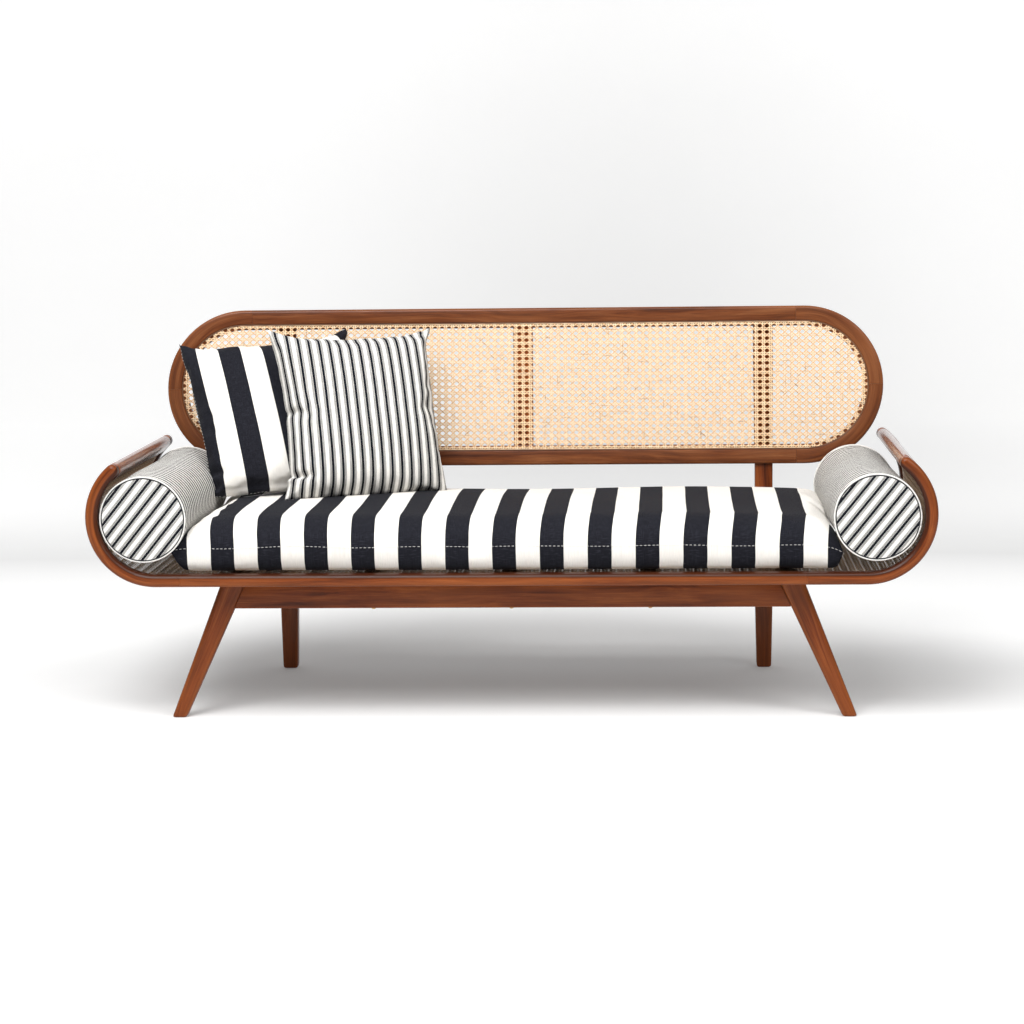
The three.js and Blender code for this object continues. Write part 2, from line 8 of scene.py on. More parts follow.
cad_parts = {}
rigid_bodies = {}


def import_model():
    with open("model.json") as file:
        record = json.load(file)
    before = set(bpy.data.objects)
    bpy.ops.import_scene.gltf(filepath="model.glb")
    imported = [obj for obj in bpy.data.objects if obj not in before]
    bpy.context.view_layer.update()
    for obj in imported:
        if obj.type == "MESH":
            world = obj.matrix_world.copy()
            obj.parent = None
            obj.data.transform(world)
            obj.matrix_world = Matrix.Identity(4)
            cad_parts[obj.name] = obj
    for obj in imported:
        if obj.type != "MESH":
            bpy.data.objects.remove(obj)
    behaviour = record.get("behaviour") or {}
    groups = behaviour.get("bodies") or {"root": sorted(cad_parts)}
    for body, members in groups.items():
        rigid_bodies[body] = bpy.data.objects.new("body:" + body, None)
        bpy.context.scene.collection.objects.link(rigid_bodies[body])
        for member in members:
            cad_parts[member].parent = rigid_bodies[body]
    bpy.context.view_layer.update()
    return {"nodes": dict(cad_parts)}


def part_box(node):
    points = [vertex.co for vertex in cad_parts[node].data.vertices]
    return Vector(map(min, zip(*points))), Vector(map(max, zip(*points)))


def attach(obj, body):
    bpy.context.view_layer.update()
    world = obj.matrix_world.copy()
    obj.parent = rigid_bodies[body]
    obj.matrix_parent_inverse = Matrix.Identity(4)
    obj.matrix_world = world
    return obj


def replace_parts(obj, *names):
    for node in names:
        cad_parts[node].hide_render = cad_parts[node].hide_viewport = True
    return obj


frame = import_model()

MM = 0.001
GAP = 0.4  # shadow line at a glued joint
SIDES = (("left", -1), ("right", 1))


# ---- dimensions, read from the frame where it has them
def edges(node):
    """Lowest and highest corners of a CAD node, in millimetres."""
    low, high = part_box(node)
    return np.array(low) / MM, np.array(high) / MM


def middle(node):
    low, high = edges(node)
    return (low + high) / 2


FRONT_Y = middle("front_rail")[1]
REAR_Y = middle("rear_rail")[1]
HALF_LENGTH = edges("front_right_arm_bow")[1][0]
RAIL_BOTTOM = edges("front_rail")[0][2]
BAR_WIDTH = 27.0
BAR_DEPTH = 38.0
BAR_ROUND = 10.0
ARM_RADIUS = 151.5
CURL_END = {"left": math.radians(49.2), "right": math.radians(53.3)}
CURL_X = HALF_LENGTH - ARM_RADIUS
CURL_Z = RAIL_BOTTOM + ARM_RADIUS
BAR_RADIUS = ARM_RADIUS - BAR_WIDTH / 2
RAIL_JOINT_LEFT = edges("front_rail")[0][0]
RAIL_JOINT_RIGHT = edges("front_rail")[1][0]
ARMREST_LOW = {side: math.radians(angle) - BAR_WIDTH / 2 / BAR_RADIUS
               for side, angle in (("left", 46.6), ("right", 51.7))}

CANE_LIFT = 19.0
LEG_TOP_X, LEG_FOOT_X = 613.0, 741.5
LEG_TOP, LEG_FOOT = (55.0, 42.0), (32.0, 34.0)
LEG_Y = middle("right_front_leg")[1]

POST_X = middle("right_back_post")[0]
POST_FRONT_Y = FRONT_Y + 686
POST_DEPTH = 40.0
POST_TONGUE = 20.0
POST_WIDTHS = ((0, 35), (150, 41.5), (480, 42.5), (700, 47), (900, 47))  # by height

BACK_HALF_LENGTH = 859.0
BACK_RADIUS = 188.3
BACK_STRAIGHT = BACK_HALF_LENGTH - BACK_RADIUS
BACK_DEPTH, BACK_FACE, BACK_LEDGE, BACK_RECESS, BACK_ROUND = 30.0, 34.0, 13.0, 5.0, 7.0
BACK_LEAN = math.radians(5.97)
BACK_CENTER = np.array([0.0, FRONT_Y + 707, 681.3])
BACK_JOINT = 652.0  # the rails meet the bows this far from the middle
SPLINE_WIDTH = 3.0

CANE_PITCH = (16.9, 14.8)  # along the length, and up or across

STRIPE = 51.7
STRIPE_MIDDLE = -10.0  # the middle stripe's centre, from the cushion's middle
SEAT_STRIPES = 13.5  # half the number of stripes along the cushion
TICKING = 23.0  # one repeat
PILLOW_HALF = 207.0
PILLOW_STRIPE = 50.5
PILLOW_FIRST_EDGE = -PILLOW_HALF - PILLOW_STRIPE + 43.0  # the first black stripe shows for 43 mm
SEAT_X = middle("seat_cushion_cover")[0]
SEAT_LOW = edges("seat_cushion_cover")[0][2]
# Each bolster: centre of its front end in x and z, radius, and the turn and lift of its rear end.
BOLSTER_FRONT = FRONT_Y - 6
BOLSTER_LENGTH = 650.0
BOLSTERS = {"left": (-799.8, 451.0, 95.0, 0.45, 0.25), "right": (796.0, 448.5, 95.0, 0.95, 0.0)}

random = np.random.default_rng(7)


# ---- camera
CAMERA_AT = (0.34069, -6.51084, 1.20494)
CAMERA_YAW, CAMERA_PITCH, CAMERA_ROLL = -0.0542626, 0.1200356, -0.0117130
CAMERA_LENS = 100.497


def place_camera():
    data = bpy.data.cameras.new("camera")
    data.sensor_width = 36
    data.lens = CAMERA_LENS
    data.clip_end = 100
    camera = bpy.data.objects.new("camera", data)
    bpy.context.scene.collection.objects.link(camera)
    turn = Matrix.Rotation(-CAMERA_YAW, 4, "Z") @ Matrix.Rotation(math.pi / 2 - CAMERA_PITCH, 4, "X")
    camera.matrix_world = Matrix.Translation(CAMERA_AT) @ turn @ Matrix.Rotation(CAMERA_ROLL, 4, "Z")
    bpy.context.scene.camera = camera


place_camera()


# ---- material nodes
class Nodes:
    """Short names for the nodes of one material."""

    def __init__(self, name):
        self.material = bpy.data.materials.new(name)
        self.material.use_nodes = True
        self.tree = self.material.node_tree
        self.shader = self.tree.nodes["Principled BSDF"]

    def add(self, kind, **values):
        node = self.tree.nodes.new(kind)
        for key, value in values.items():
            setattr(node, key, value)
        return node

    def feed(self, socket, value):
        if isinstance(value, bpy.types.NodeSocket):
            self.tree.links.new(value, socket)
        elif value is not None:
            socket.default_value = value

    def fill(self, node, **values):
        for key, value in values.items():
            self.feed(node.inputs[key.replace("_", " ")], value)

    def set(self, **values):
        self.fill(self.shader, **values)

    def attribute(self, name):
        return self.add("ShaderNodeAttribute", attribute_name=name).outputs["Vector"]

    def object(self):
        return self.add("ShaderNodeTexCoord").outputs["Object"]

    def math(self, operation, a, b=None):
        node = self.add("ShaderNodeMath", operation=operation)
        for socket, value in zip(node.inputs, (a, b)):
            self.feed(socket, value)
        return node.outputs[0]

    def plus(self, a, b):
        return self.math("ADD", a, b)

    def minus(self, a, b):
        return self.math("SUBTRACT", a, b)

    def times(self, a, b):
        return self.math("MULTIPLY", a, b)

    def split(self, vector):
        node = self.add("ShaderNodeSeparateXYZ")
        self.feed(node.inputs[0], vector)
        return node.outputs

    def join(self, x, y, z):
        node = self.add("ShaderNodeCombineXYZ")
        for socket, value in zip(node.inputs, (x, y, z)):
            self.feed(socket, value)
        return node.outputs[0]

    def vector_math(self, operation, a, b):
        node = self.add("ShaderNodeVectorMath", operation=operation)
        for socket, value in zip(node.inputs, (a, b)):
            self.feed(socket, value)
        return node.outputs["Value" if operation == "DISTANCE" else "Vector"]

    def noise(self, vector, scale, detail, rough=0.5, distort=0.0):
        """Noise over a vector whose axes are first multiplied by scale."""
        node = self.add("ShaderNodeTexNoise")
        place = self.vector_math("MULTIPLY", vector, scale)
        self.fill(node, Vector=place, Scale=1.0, Detail=detail, Roughness=rough, Distortion=distort)
        return node.outputs["Fac"]

    def ramp(self, value, stops):
        node = self.add("ShaderNodeValToRGB")
        self.feed(node.inputs[0], value)
        marks = node.color_ramp.elements
        while len(marks) < len(stops):
            marks.new(1.0)
        for mark, (place, color) in zip(marks, stops):
            mark.position = place
            mark.color = (*color, 1.0)
        return node.outputs[0]

    def fade(self, value, low, high, a=0.0, b=1.0):
        """A smooth change from a to b as the value goes from low to high."""
        node = self.add("ShaderNodeMapRange", interpolation_type="SMOOTHSTEP")
        self.fill(node, Value=value, From_Min=low, From_Max=high, To_Min=a, To_Max=b)
        return node.outputs[0]

    def mix(self, factor, a, b, blend="MIX"):
        node = self.add("ShaderNodeMix", data_type="RGBA", blend_type=blend)
        for key, v in ((0, factor), (6, a), (7, b)):
            if isinstance(v, tuple) and len(v) == 3:
                v = (*v, 1.0)
            self.feed(node.inputs[key], v)
        return node.outputs[2]

    def bump(self, height, strength, distance):
        node = self.add("ShaderNodeBump")
        self.fill(node, Height=height, Strength=strength, Distance=distance)
        self.set(Normal=node.outputs[0])


# ---- materials
WOOD_DARK = (0.044, 0.0082, 0.0018)
WOOD_MID = (0.162, 0.034, 0.0060)
WOOD_LIGHT = (0.275, 0.074, 0.0160)
WOOD_PORE = (0.035, 0.010, 0.006)
WOOD_WORN = (0.30, 0.09, 0.022)
# Painted shade: the near-black brown that shaded wood is darkened towards.
WOOD_PAINTED_SHADE = (0.022, 0.0045, 0.0012)


def wood(name, tone=(1.0, 1.0, 1.0), gloss=0.14):
    """Oiled reddish-brown wood, its grain along the first coordinate. tone scales its colour. Rubbed edges
    come out lighter, and places marked below zero darker as painted shade.
    """
    n = Nodes(name)
    place = n.attribute("grain")
    warp = n.noise(place, (2.2, 9.0, 9.0), 2.0)
    flow = n.vector_math("MULTIPLY", place, (3.0, 75.0, 75.0))
    bent = n.vector_math("ADD", flow, n.join(0.0, n.times(warp, 5.0), n.times(warp, 3.0)))
    bands = n.noise(bent, (1.0, 1.0, 1.0), 5.0, 0.62, 0.5)
    fine = n.noise(place, (14.0, 620.0, 620.0), 3.0, 0.6)
    pores = n.fade(n.noise(place, (55.0, 1500.0, 1500.0), 1.0), 0.66, 0.74)
    patches = n.noise(place, (3.5, 12.0, 12.0), 2.0)
    dark, mid, light = (tuple(np.multiply(c, tone).tolist()) for c in (WOOD_DARK, WOOD_MID, WOOD_LIGHT))
    color = n.ramp(bands, ((0.28, dark), (0.50, mid), (0.74, light)))
    color = n.mix(n.fade(fine, 0.35, 0.7, 0.0, 0.45), color, dark)
    color = n.mix(n.times(pores, 0.6), color, WOOD_PORE)
    color = n.mix(n.fade(patches, 0.40, 0.72, 0.0, 0.35), color, light)
    worn_and_shaded = n.add("ShaderNodeAttribute", attribute_name="wear_and_shade").outputs["Fac"]
    rub = n.times(worn_and_shaded, n.fade(patches, 0.35, 0.65, 0.05, 0.30))
    color = n.mix(rub, color, WOOD_WORN)
    # Painted shade: where the per-point mark is below zero, the colour darkens towards a near-black brown.
    painted_shade = n.times(n.math("MINIMUM", worn_and_shaded, 0.0), -0.85)
    color = n.mix(painted_shade, color, WOOD_PAINTED_SHADE)
    n.set(Base_Color=color, Roughness=n.fade(fine, 0.25, 0.8, 0.30, 0.44), Coat_Weight=gloss,
          Coat_Roughness=0.16, Specular_IOR_Level=0.12)
    n.bump(n.minus(n.times(fine, 0.35), n.times(pores, 0.9)), 0.35, 0.0004)
    return n.material


def cane(name, under, across_share):
    """Split cane: pale rounded skin with painted shade along both edges, and a few dark lengths.
    under is the colour of the slanted strands that lie below, and across_share how much the strands
    along the length share it; a dark under colour is painted shade."""
    n = Nodes(name)
    place = n.attribute("grain")
    ridge, diagonal, across = n.split(n.attribute("strand"))
    tone = n.noise(place, (9.0, 900.0, 1.0), 2.0)
    fibre = n.noise(place, (30.0, 5000.0, 5000.0), 2.0)
    knots = n.fade(n.noise(place, (26.0, 700.0, 1.0), 0.0), 0.69, 0.77)
    color = n.ramp(tone, ((0.25, (0.90, 0.60, 0.32)), (0.5, (0.97, 0.79, 0.54)), (0.8, (1.0, 0.92, 0.74))))
    # The lower strands take the under colour; a dark under colour is painted shade.
    lower = n.math("MAXIMUM", n.times(diagonal, 0.75), n.times(across, across_share))
    color = n.mix(lower, color, under)
    # Painted shade: each strand darker towards both its edges.
    color = n.mix(n.fade(ridge, 0.35, 1.0, 0.0, 0.9), color, tuple(0.62 * c for c in under))
    color = n.mix(n.times(knots, 0.85), color, (0.16, 0.055, 0.018))
    color = n.mix(n.fade(fibre, 0.45, 0.75, 0.0, 0.15), color, (0.62, 0.30, 0.11))
    n.set(Base_Color=color, Roughness=n.fade(fibre, 0.3, 0.8, 0.30, 0.48), Coat_Weight=0.35,
          Coat_Roughness=0.12)
    n.bump(fibre, 0.4, 0.0002)
    return n.material


def speckled(name, coordinates, scale, detail, stops, rough, bump, metallic=0.0):
    """Two colours in fine patches. coordinates names an attribute, or is None for the object's own."""
    n = Nodes(name)
    specks = n.noise(n.attribute(coordinates) if coordinates else n.object(), scale, detail)
    n.set(Base_Color=n.ramp(specks, stops), Metallic=metallic, Roughness=n.fade(specks, *rough))
    n.bump(specks, *bump)
    return n.material


WALL_Y, WALL_BEND = 9.0, 2.0
BACKDROP_SCALE = (1.0, 0.35, 0.6)
BACKDROP_MIDDLE = (0.1, 1.75, 0.0)
BACKDROP_GLOW = (0.32, 0.55)
FLOOR_MIDDLE = (0.0, 0.3, 0.0)
FLOOR_GLOW = 0.23
SHADOW_GLOW = 0.12
INK = (0.0095, 0.0098, 0.0140)
INK_LIGHT = (0.025, 0.026, 0.035)
CREAM = (0.93, 0.885, 0.820)


def cloth_finish(n, color, place, pitch, strength):
    """The relief of a plain weave, threads that cross over and under, painted shade where the relief is low,
    and faint soiling.
    """
    x, y, _ = n.split(place)
    across, along = (n.math("SINE", n.times(t, math.tau / pitch)) for t in (x, y))
    slub = n.noise(place, (900.0, 120.0, 1.0), 2.0)
    threads = n.plus(n.times(n.times(across, along), 0.5), slub)
    # Painted shade: the cloth darkens where the threads and slubs lie low.
    color = n.mix(n.fade(threads, 0.1, 1.0, 0.28, 0.0), color, (0.0, 0.0, 0.0))
    soil = n.noise(place, (7.0, 7.0, 7.0), 3.0)
    color = n.mix(n.fade(soil, 0.45, 0.75, 0.0, 0.10), color, (0.62, 0.55, 0.46), "MULTIPLY")
    n.set(Base_Color=color, Roughness=n.fade(threads, 0.0, 1.2, 0.95, 0.80), Specular_IOR_Level=0.10,
          Sheen_Weight=0.02, Sheen_Roughness=0.45)
    n.bump(threads, strength, 0.0006)
    return n.material


def wide_stripes(name, first_edge, stripe, black_first, ear=None):
    """Canvas with even black and cream stripes across the first rest coordinate. ear gives a
    corner, and the lengths along both edges of the black triangle that folds over it."""
    n = Nodes(name)
    place = n.attribute("rest")
    x, y, _ = n.split(place)
    wander = n.noise(place, (60.0, 9.0, 1.0), 2.0)
    x = n.plus(x, n.times(n.minus(wander, 0.5), 0.0016))
    turn = n.math("DIVIDE", n.minus(x, first_edge * MM), 2 * stripe * MM)
    part = n.math("FRACT", turn)
    near = 0.0035
    first = n.times(n.fade(part, 0.0, near), n.fade(part, 0.5, 0.5 + near, 1.0, 0.0))
    threads = n.noise(place, (1500.0, 70.0, 1.0), 2.0)
    slubs = n.noise(place, (70.0, 1500.0, 1.0), 2.0)
    dark = n.mix(n.fade(n.math("MAXIMUM", threads, slubs), 0.48, 0.75), INK, INK_LIGHT)
    pale = n.mix(n.fade(n.plus(threads, slubs), 0.7, 1.3), CREAM, (0.90, 0.88, 0.84))
    color = n.mix(first, pale, dark) if black_first else n.mix(first, dark, pale)
    if ear:
        inwards = n.math("DIVIDE", n.minus(ear[0][0] * MM, x), ear[1][0] * MM)
        down = n.math("DIVIDE", n.minus(ear[0][1] * MM, y), ear[1][1] * MM)
        color = n.mix(n.fade(n.plus(inwards, down), 0.98, 1.02, 1.0, 0.0), color, dark)
    return cloth_finish(n, color, place, 0.0011, 0.45)


def ticking(name):
    """Cream cotton with a black line between fine grey lines at every repeat."""
    n = Nodes(name)
    place = n.attribute("rest")
    x, y, _ = n.split(place)
    wander = n.noise(place, (90.0, 14.0, 1.0), 2.0)
    x = n.plus(x, n.times(n.minus(wander, 0.5), 0.0008))
    part = n.math("FRACT", n.math("DIVIDE", x, TICKING * MM))
    away = n.times(n.math("ABSOLUTE", n.minus(part, 0.5)), TICKING)

    def line(center, half):
        off = n.math("ABSOLUTE", n.minus(away, center))
        return n.fade(off, half - 0.22, half + 0.22, 1.0, 0.0)

    color = (0.90, 0.88, 0.835)
    broken = n.fade(n.noise(place, (260.0, 30.0, 1.0), 1.0), 0.25, 0.50, 0.75, 1.0)
    for center, strength in ((7.2, 0.68), (5.7, 0.85), (4.2, 0.95)):
        shade = n.times(n.times(line(center, 0.58), strength), broken)
        color = n.mix(shade, color, (0.055, 0.052, 0.050))
    color = n.mix(line(0.0, 3.0), color, INK)
    return cloth_finish(n, color, place, 0.0008, 0.35)


def plain_cloth(name, color):
    """Cloth of one colour, for piping, thread and the black cord of painted shade in the bolsters' end
    seams.
    """
    n = Nodes(name)
    place = n.attribute("rest")
    flecks = n.noise(place, (900.0, 900.0, 1.0), 2.0)
    lighter = tuple(min(1.0, c * 1.12 + 0.01) for c in color)
    return cloth_finish(n, n.mix(n.fade(flecks, 0.4, 0.7), color, lighter), place, 0.0009, 0.4)


def floor_paint(name):
    """Pale paper, lit from within behind the daybed, less so in the middle."""
    n = Nodes(name)
    place = n.object()
    mottle = n.noise(place, (3.0, 3.0, 3.0), 3.0)

    back = n.split(place)["Y"]
    off_wall = n.vector_math("DISTANCE", n.vector_math("MULTIPLY", place, BACKDROP_SCALE), BACKDROP_MIDDLE)
    off_floor = n.vector_math("DISTANCE", place, FLOOR_MIDDLE)
    wall = n.times(n.fade(back, 0.8, 4.0), n.fade(off_wall, 0.2, 2.6, *BACKDROP_GLOW))
    around = n.times(n.fade(back, 0.2, 0.9), n.fade(off_floor, 0.6, 1.3, 0.0, FLOOR_GLOW))
    floor = n.times(n.plus(around, SHADOW_GLOW), n.fade(back, 1.5, 3.5, 1.0, 0.0))
    glow = n.math("MAXIMUM", wall, floor)
    color = n.ramp(mottle, ((0.3, (0.684, 0.684, 0.681)), (0.7, (0.696, 0.696, 0.693))))
    n.set(Base_Color=color, Roughness=0.85, Emission_Color=n.join(glow, glow, glow), Emission_Strength=1.0,
          Specular_IOR_Level=0.1)
    return n.material


WOOD = wood("oiled_wood")
HAND_WOOD = wood("polished_wood", gloss=0.9)
# Painted shade: a darker, bluer copy of the oiled wood for the backrest frame.
BACK_WOOD_SHADED = wood("backrest_wood_painted_shade", tone=(0.80, 1.06, 1.75))
BACK_CANE = cane("back_cane", (0.80, 0.42, 0.17), 0.12)
# Painted shade: a darker copy of the cane for the deck and arms, its lower strands near black-brown.
DECK_CANE_SHADED = cane("deck_cane_painted_shade", (0.150, 0.054, 0.020), 0.6)
SPLINE = speckled("cane_spline", "grain", (18.0, 900.0, 900.0), 3.0,
                  ((0.3, (0.075, 0.026, 0.012)), (0.7, (0.24, 0.105, 0.045))),
                  (0.3, 0.8, 0.42, 0.6), (0.3, 0.0003))
SEAT_CLOTH = wide_stripes("seat_stripes", STRIPE_MIDDLE - SEAT_STRIPES * STRIPE, STRIPE, False)
PILLOW_CLOTH = wide_stripes("pillow_stripes", PILLOW_FIRST_EDGE, PILLOW_STRIPE, True,
                            ((PILLOW_HALF, PILLOW_HALF), (54.0, 80.0)))
TICKING_CLOTH = ticking("ticking_cotton")
PIPING_CLOTH = plain_cloth("piping_cotton", (0.86, 0.84, 0.80))
# Painted shade: a black cord sunk in each bolster end seam, where the seam's shade falls.
SEAM_SHADE_CLOTH = plain_cloth("seam_shade_cord", (0.030, 0.030, 0.034))
THREAD = plain_cloth("white_thread", (0.80, 0.79, 0.76))
BRASS = speckled("brass_screws", None, (260.0, 260.0, 260.0), 4.0,
                 ((0.35, (0.66, 0.46, 0.20)), (0.7, (0.34, 0.21, 0.09))),
                 (0.3, 0.75, 0.24, 0.55), (0.15, 0.0002), 1.0)
ZIP = speckled("zip_plastic", "rest", (800.0, 800.0, 800.0), 2.0,
               ((0.3, (0.020, 0.020, 0.023)), (0.7, (0.050, 0.050, 0.056))),
               (0.3, 0.7, 0.38, 0.6), (0.25, 0.0002))


# ---- mesh making
def mesh_object(name, points, faces, material, slot, data, body=None, parent=None, sharp=None):
    """A smooth-shaded object from points in millimetres. data holds per-point attributes."""
    mesh = bpy.data.meshes.new(name)
    points = np.asarray(points, float)
    if isinstance(faces, np.ndarray):
        mesh.vertices.add(len(points))
        mesh.vertices.foreach_set("co", (points * MM).astype(np.float32).ravel())
        mesh.loops.add(faces.size)
        mesh.loops.foreach_set("vertex_index", faces.astype(np.int32).ravel())
        mesh.polygons.add(len(faces))
        mesh.polygons.foreach_set("loop_start", np.arange(0, faces.size, faces.shape[1], dtype=np.int32))
        mesh.update(calc_edges=True)
    else:
        mesh.from_pydata((points * MM).tolist(), [], faces)
    mesh.polygons.foreach_set("use_smooth", np.ones(len(mesh.polygons), bool))
    for key, values in data.items():
        values = np.asarray(values, np.float32)
        kind = "FLOAT_VECTOR" if values.ndim == 2 else "FLOAT"
        layer = mesh.attributes.new(key, kind, "POINT")
        layer.data.foreach_set("vector" if values.ndim == 2 else "value", values.ravel())
    if sharp:
        mesh.set_sharp_from_angle(angle=math.radians(sharp))
    mesh.materials.append(material)
    obj = bpy.data.objects.new(name, mesh)
    bpy.context.scene.collection.objects.link(obj)
    obj.parent = parent
    if body:
        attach(obj, body)
    return obj


def loft_faces(rings, size, first=0, loop=False):
    """Faces of a tube made of equal rings, joined into a loop or with its two ends filled."""
    faces = []
    for r in range(rings if loop else rings - 1):
        a, b = first + r * size, first + (r + 1) % rings * size
        for k in range(size):
            m = (k + 1) % size
            faces.append((a + k, a + m, b + m, b + k))
    if not loop:
        faces.append(tuple(first + k for k in reversed(range(size))))
        faces.append(tuple(first + (rings - 1) * size + k for k in range(size)))
    return faces


def facing_out(points, faces):
    """The faces, all turned over if they enclose a negative volume."""
    volume = 0.0
    points = np.asarray(points)
    for f in faces:
        for k in range(1, len(f) - 1):
            volume += np.dot(points[f[0]], np.cross(points[f[k]], points[f[k + 1]]))
    return faces if volume > 0 else [tuple(reversed(f)) for f in faces]


def distance_along(path):
    """How far along a path each of its points lies."""
    steps = np.linalg.norm(np.diff(path, axis=0), axis=1)
    return np.concatenate([[0], np.cumsum(steps)])


def skin(name, rings, material, slot, data, loop=False, **keep):
    """A smooth piece over equal rings of points, closed at its ends or joined into a loop."""
    points = np.concatenate(rings)
    faces = facing_out(points, loft_faces(len(rings), len(rings[0]), loop=loop))
    return mesh_object(name, points, faces, material, slot, data, **keep)


def loft(name, rings, lengths, across, material, node, wear_and_shade=None):
    """A lofted wooden piece for a CAD node. lengths is each ring's place along the grain, across
    each point's place in the section."""
    size, count = len(across), len(rings)
    grain = np.c_[np.repeat(lengths, size), np.tile(across, (count, 1))] * MM + random.uniform(0, 4, 3)
    data = {"grain": grain, "wear_and_shade": np.tile(np.zeros(size) if wear_and_shade is None else wear_and_shade, count)}
    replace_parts(skin(name, rings, material, "teak", data, body="root", sharp=38), node)


def rounded_section(width, depth, radius, steps=5):
    """Points round a rectangle with round corners, and how far each is on a corner."""
    points, wear_and_shade = [], []
    w, d = width / 2 - radius, depth / 2 - radius
    for quarter, (sx, sy) in enumerate(((1, 1), (-1, 1), (-1, -1), (1, -1))):
        for k in range(steps + 1):
            angle = (quarter + k / steps) * math.pi / 2
            points.append((sx * w + radius * math.cos(angle), sy * d + radius * math.sin(angle)))
            wear_and_shade.append(math.sin(math.pi * k / steps))
    return np.array(points), np.array(wear_and_shade)


# ---- boat-shaped seat frames
def bar_half_depth(inset):
    """Half a boat bar's depth at a distance in from its side."""
    inset = np.minimum(inset, BAR_ROUND)
    return BAR_DEPTH / 2 - BAR_ROUND + np.sqrt(np.maximum(BAR_ROUND**2 - (BAR_ROUND - inset) ** 2, 0))


def boat_bar(name, y, path, normals, side, nose, node):
    """A bar of the boat frame along a path in x and z, ended by a round nose where asked. Its
    places across are dense where its edges round over."""
    half = BAR_WIDTH / 2
    marks = np.array([0.0, 0.35, 1.1, 2.3, 4.0, 6.0, BAR_ROUND, BAR_ROUND + 1.2])
    places = np.concatenate([marks - half, (half - marks)[::-1]])
    run = distance_along(path)

    def ring(center, normal, across, inset):
        flat, deep = center + across[:, None] * normal, bar_half_depth(inset)
        x, z = side * flat[:, 0], flat[:, 1]
        return np.concatenate([np.c_[x, y - deep, z], np.c_[x, y + deep, z][::-1]])

    rings = [ring(center, normal, places, half - np.abs(places)) for center, normal in zip(path, normals)]
    lengths = list(run)
    if nose:
        ahead = (path[-1] - path[-2]) / np.linalg.norm(path[-1] - path[-2])
        for angle in np.radians(np.linspace(8, 88.5, 13)):
            t, w = half * math.sin(angle), math.cos(angle)
            rings.append(ring(path[-1] + ahead * t, normals[-1], places * w, half - np.hypot(places * w, t)))
            lengths.append(run[-1] + t)
    deep = bar_half_depth(half - np.abs(places))
    section = np.concatenate([np.c_[places, -deep], np.c_[places, deep][::-1]])
    spare = half - np.abs(section[:, 0])
    wear_and_shade = np.where(spare < BAR_ROUND, np.sin(np.pi * np.clip(spare / BAR_ROUND, 0, 1)), 0)
    # Painted shade: the inner edge of each bar, which the cushion and bolsters overhang, is marked below
    # zero so the wood comes out darker there.
    inner = section[:, 0] - half + BAR_ROUND
    wear_and_shade = np.where(inner > 0, -np.clip(inner / 3, 0, 1), wear_and_shade)
    loft(name, rings, lengths, section, WOOD, node, wear_and_shade)


def bow_path(start_x, end):
    """The straight run from a joint, then the curl up to its end angle."""
    turn = np.linspace(-math.pi / 2, end, 64)
    straight = np.linspace(start_x, CURL_X, 4)[:-1]
    path = [(x, CURL_Z - BAR_RADIUS) for x in straight]
    path += [(CURL_X + BAR_RADIUS * math.cos(a), CURL_Z + BAR_RADIUS * math.sin(a)) for a in turn]
    normals = [(0.0, 1.0)] * len(straight) + [(-math.cos(a), -math.sin(a)) for a in turn]
    return np.array(path), np.array(normals)


def make_boat_frames():
    joints = {"left": -RAIL_JOINT_LEFT + GAP / 2, "right": RAIL_JOINT_RIGHT + GAP / 2}
    rail = np.array([(x, CURL_Z - BAR_RADIUS)
                     for x in np.linspace(RAIL_JOINT_LEFT + GAP / 2, RAIL_JOINT_RIGHT - GAP / 2, 24)])
    for prefix, y in (("front", FRONT_Y), ("rear", REAR_Y)):
        for side, sign in SIDES:
            boat_bar(f"{prefix}_{side}_bow", y, *bow_path(joints[side], CURL_END[side]), sign, True,
                     f"{prefix}_{side}_arm_bow")
        boat_bar(f"{prefix}_boat_rail", y, rail, np.tile((0.0, 1.0), (24, 1)), 1, False, f"{prefix}_rail")


def make_armrests():
    half = BAR_WIDTH / 2
    y0, y1 = FRONT_Y + BAR_DEPTH / 2 + 0.3, REAR_Y - BAR_DEPTH / 2 - 0.3
    stops = [(y0, 0.90), (y0 + 0.5, 0.955), (y0 + 1.6, 1.0)]
    stops += [(y, 1.0) for y in np.linspace(y0 + 40, y1 - 40, 12)]
    stops += [(y1 - 1.6, 1.0), (y1 - 0.5, 0.955), (y1, 0.90)]
    for side, sign in SIDES:
        section = []
        low, high = ARMREST_LOW[side], CURL_END[side]
        for center, start in ((low, low + math.pi), (high, high)):
            for angle in np.linspace(start, start + math.pi, 15):
                section.append((CURL_X + BAR_RADIUS * math.cos(center) + half * math.cos(angle),
                                CURL_Z + BAR_RADIUS * math.sin(center) + half * math.sin(angle)))
        section = np.array(section)
        core = section.mean(axis=0)
        rings = []
        for y, scale in stops:
            ring = core + (section - core) * scale
            rings.append(np.c_[sign * ring[:, 0], np.full(len(ring), y), ring[:, 1]])
        node = f"{side}_armrest"
        loft(f"{node}_bar", rings, [y for y, _ in stops], section - core, HAND_WOOD, node)


# ---- base
def leg_at(z):
    """A front leg's middle in x, its width and its depth at a height."""
    t = z / RAIL_BOTTOM
    return [foot + (top - foot) * t for foot, top in zip((LEG_FOOT_X, *LEG_FOOT), (LEG_TOP_X, *LEG_TOP))]


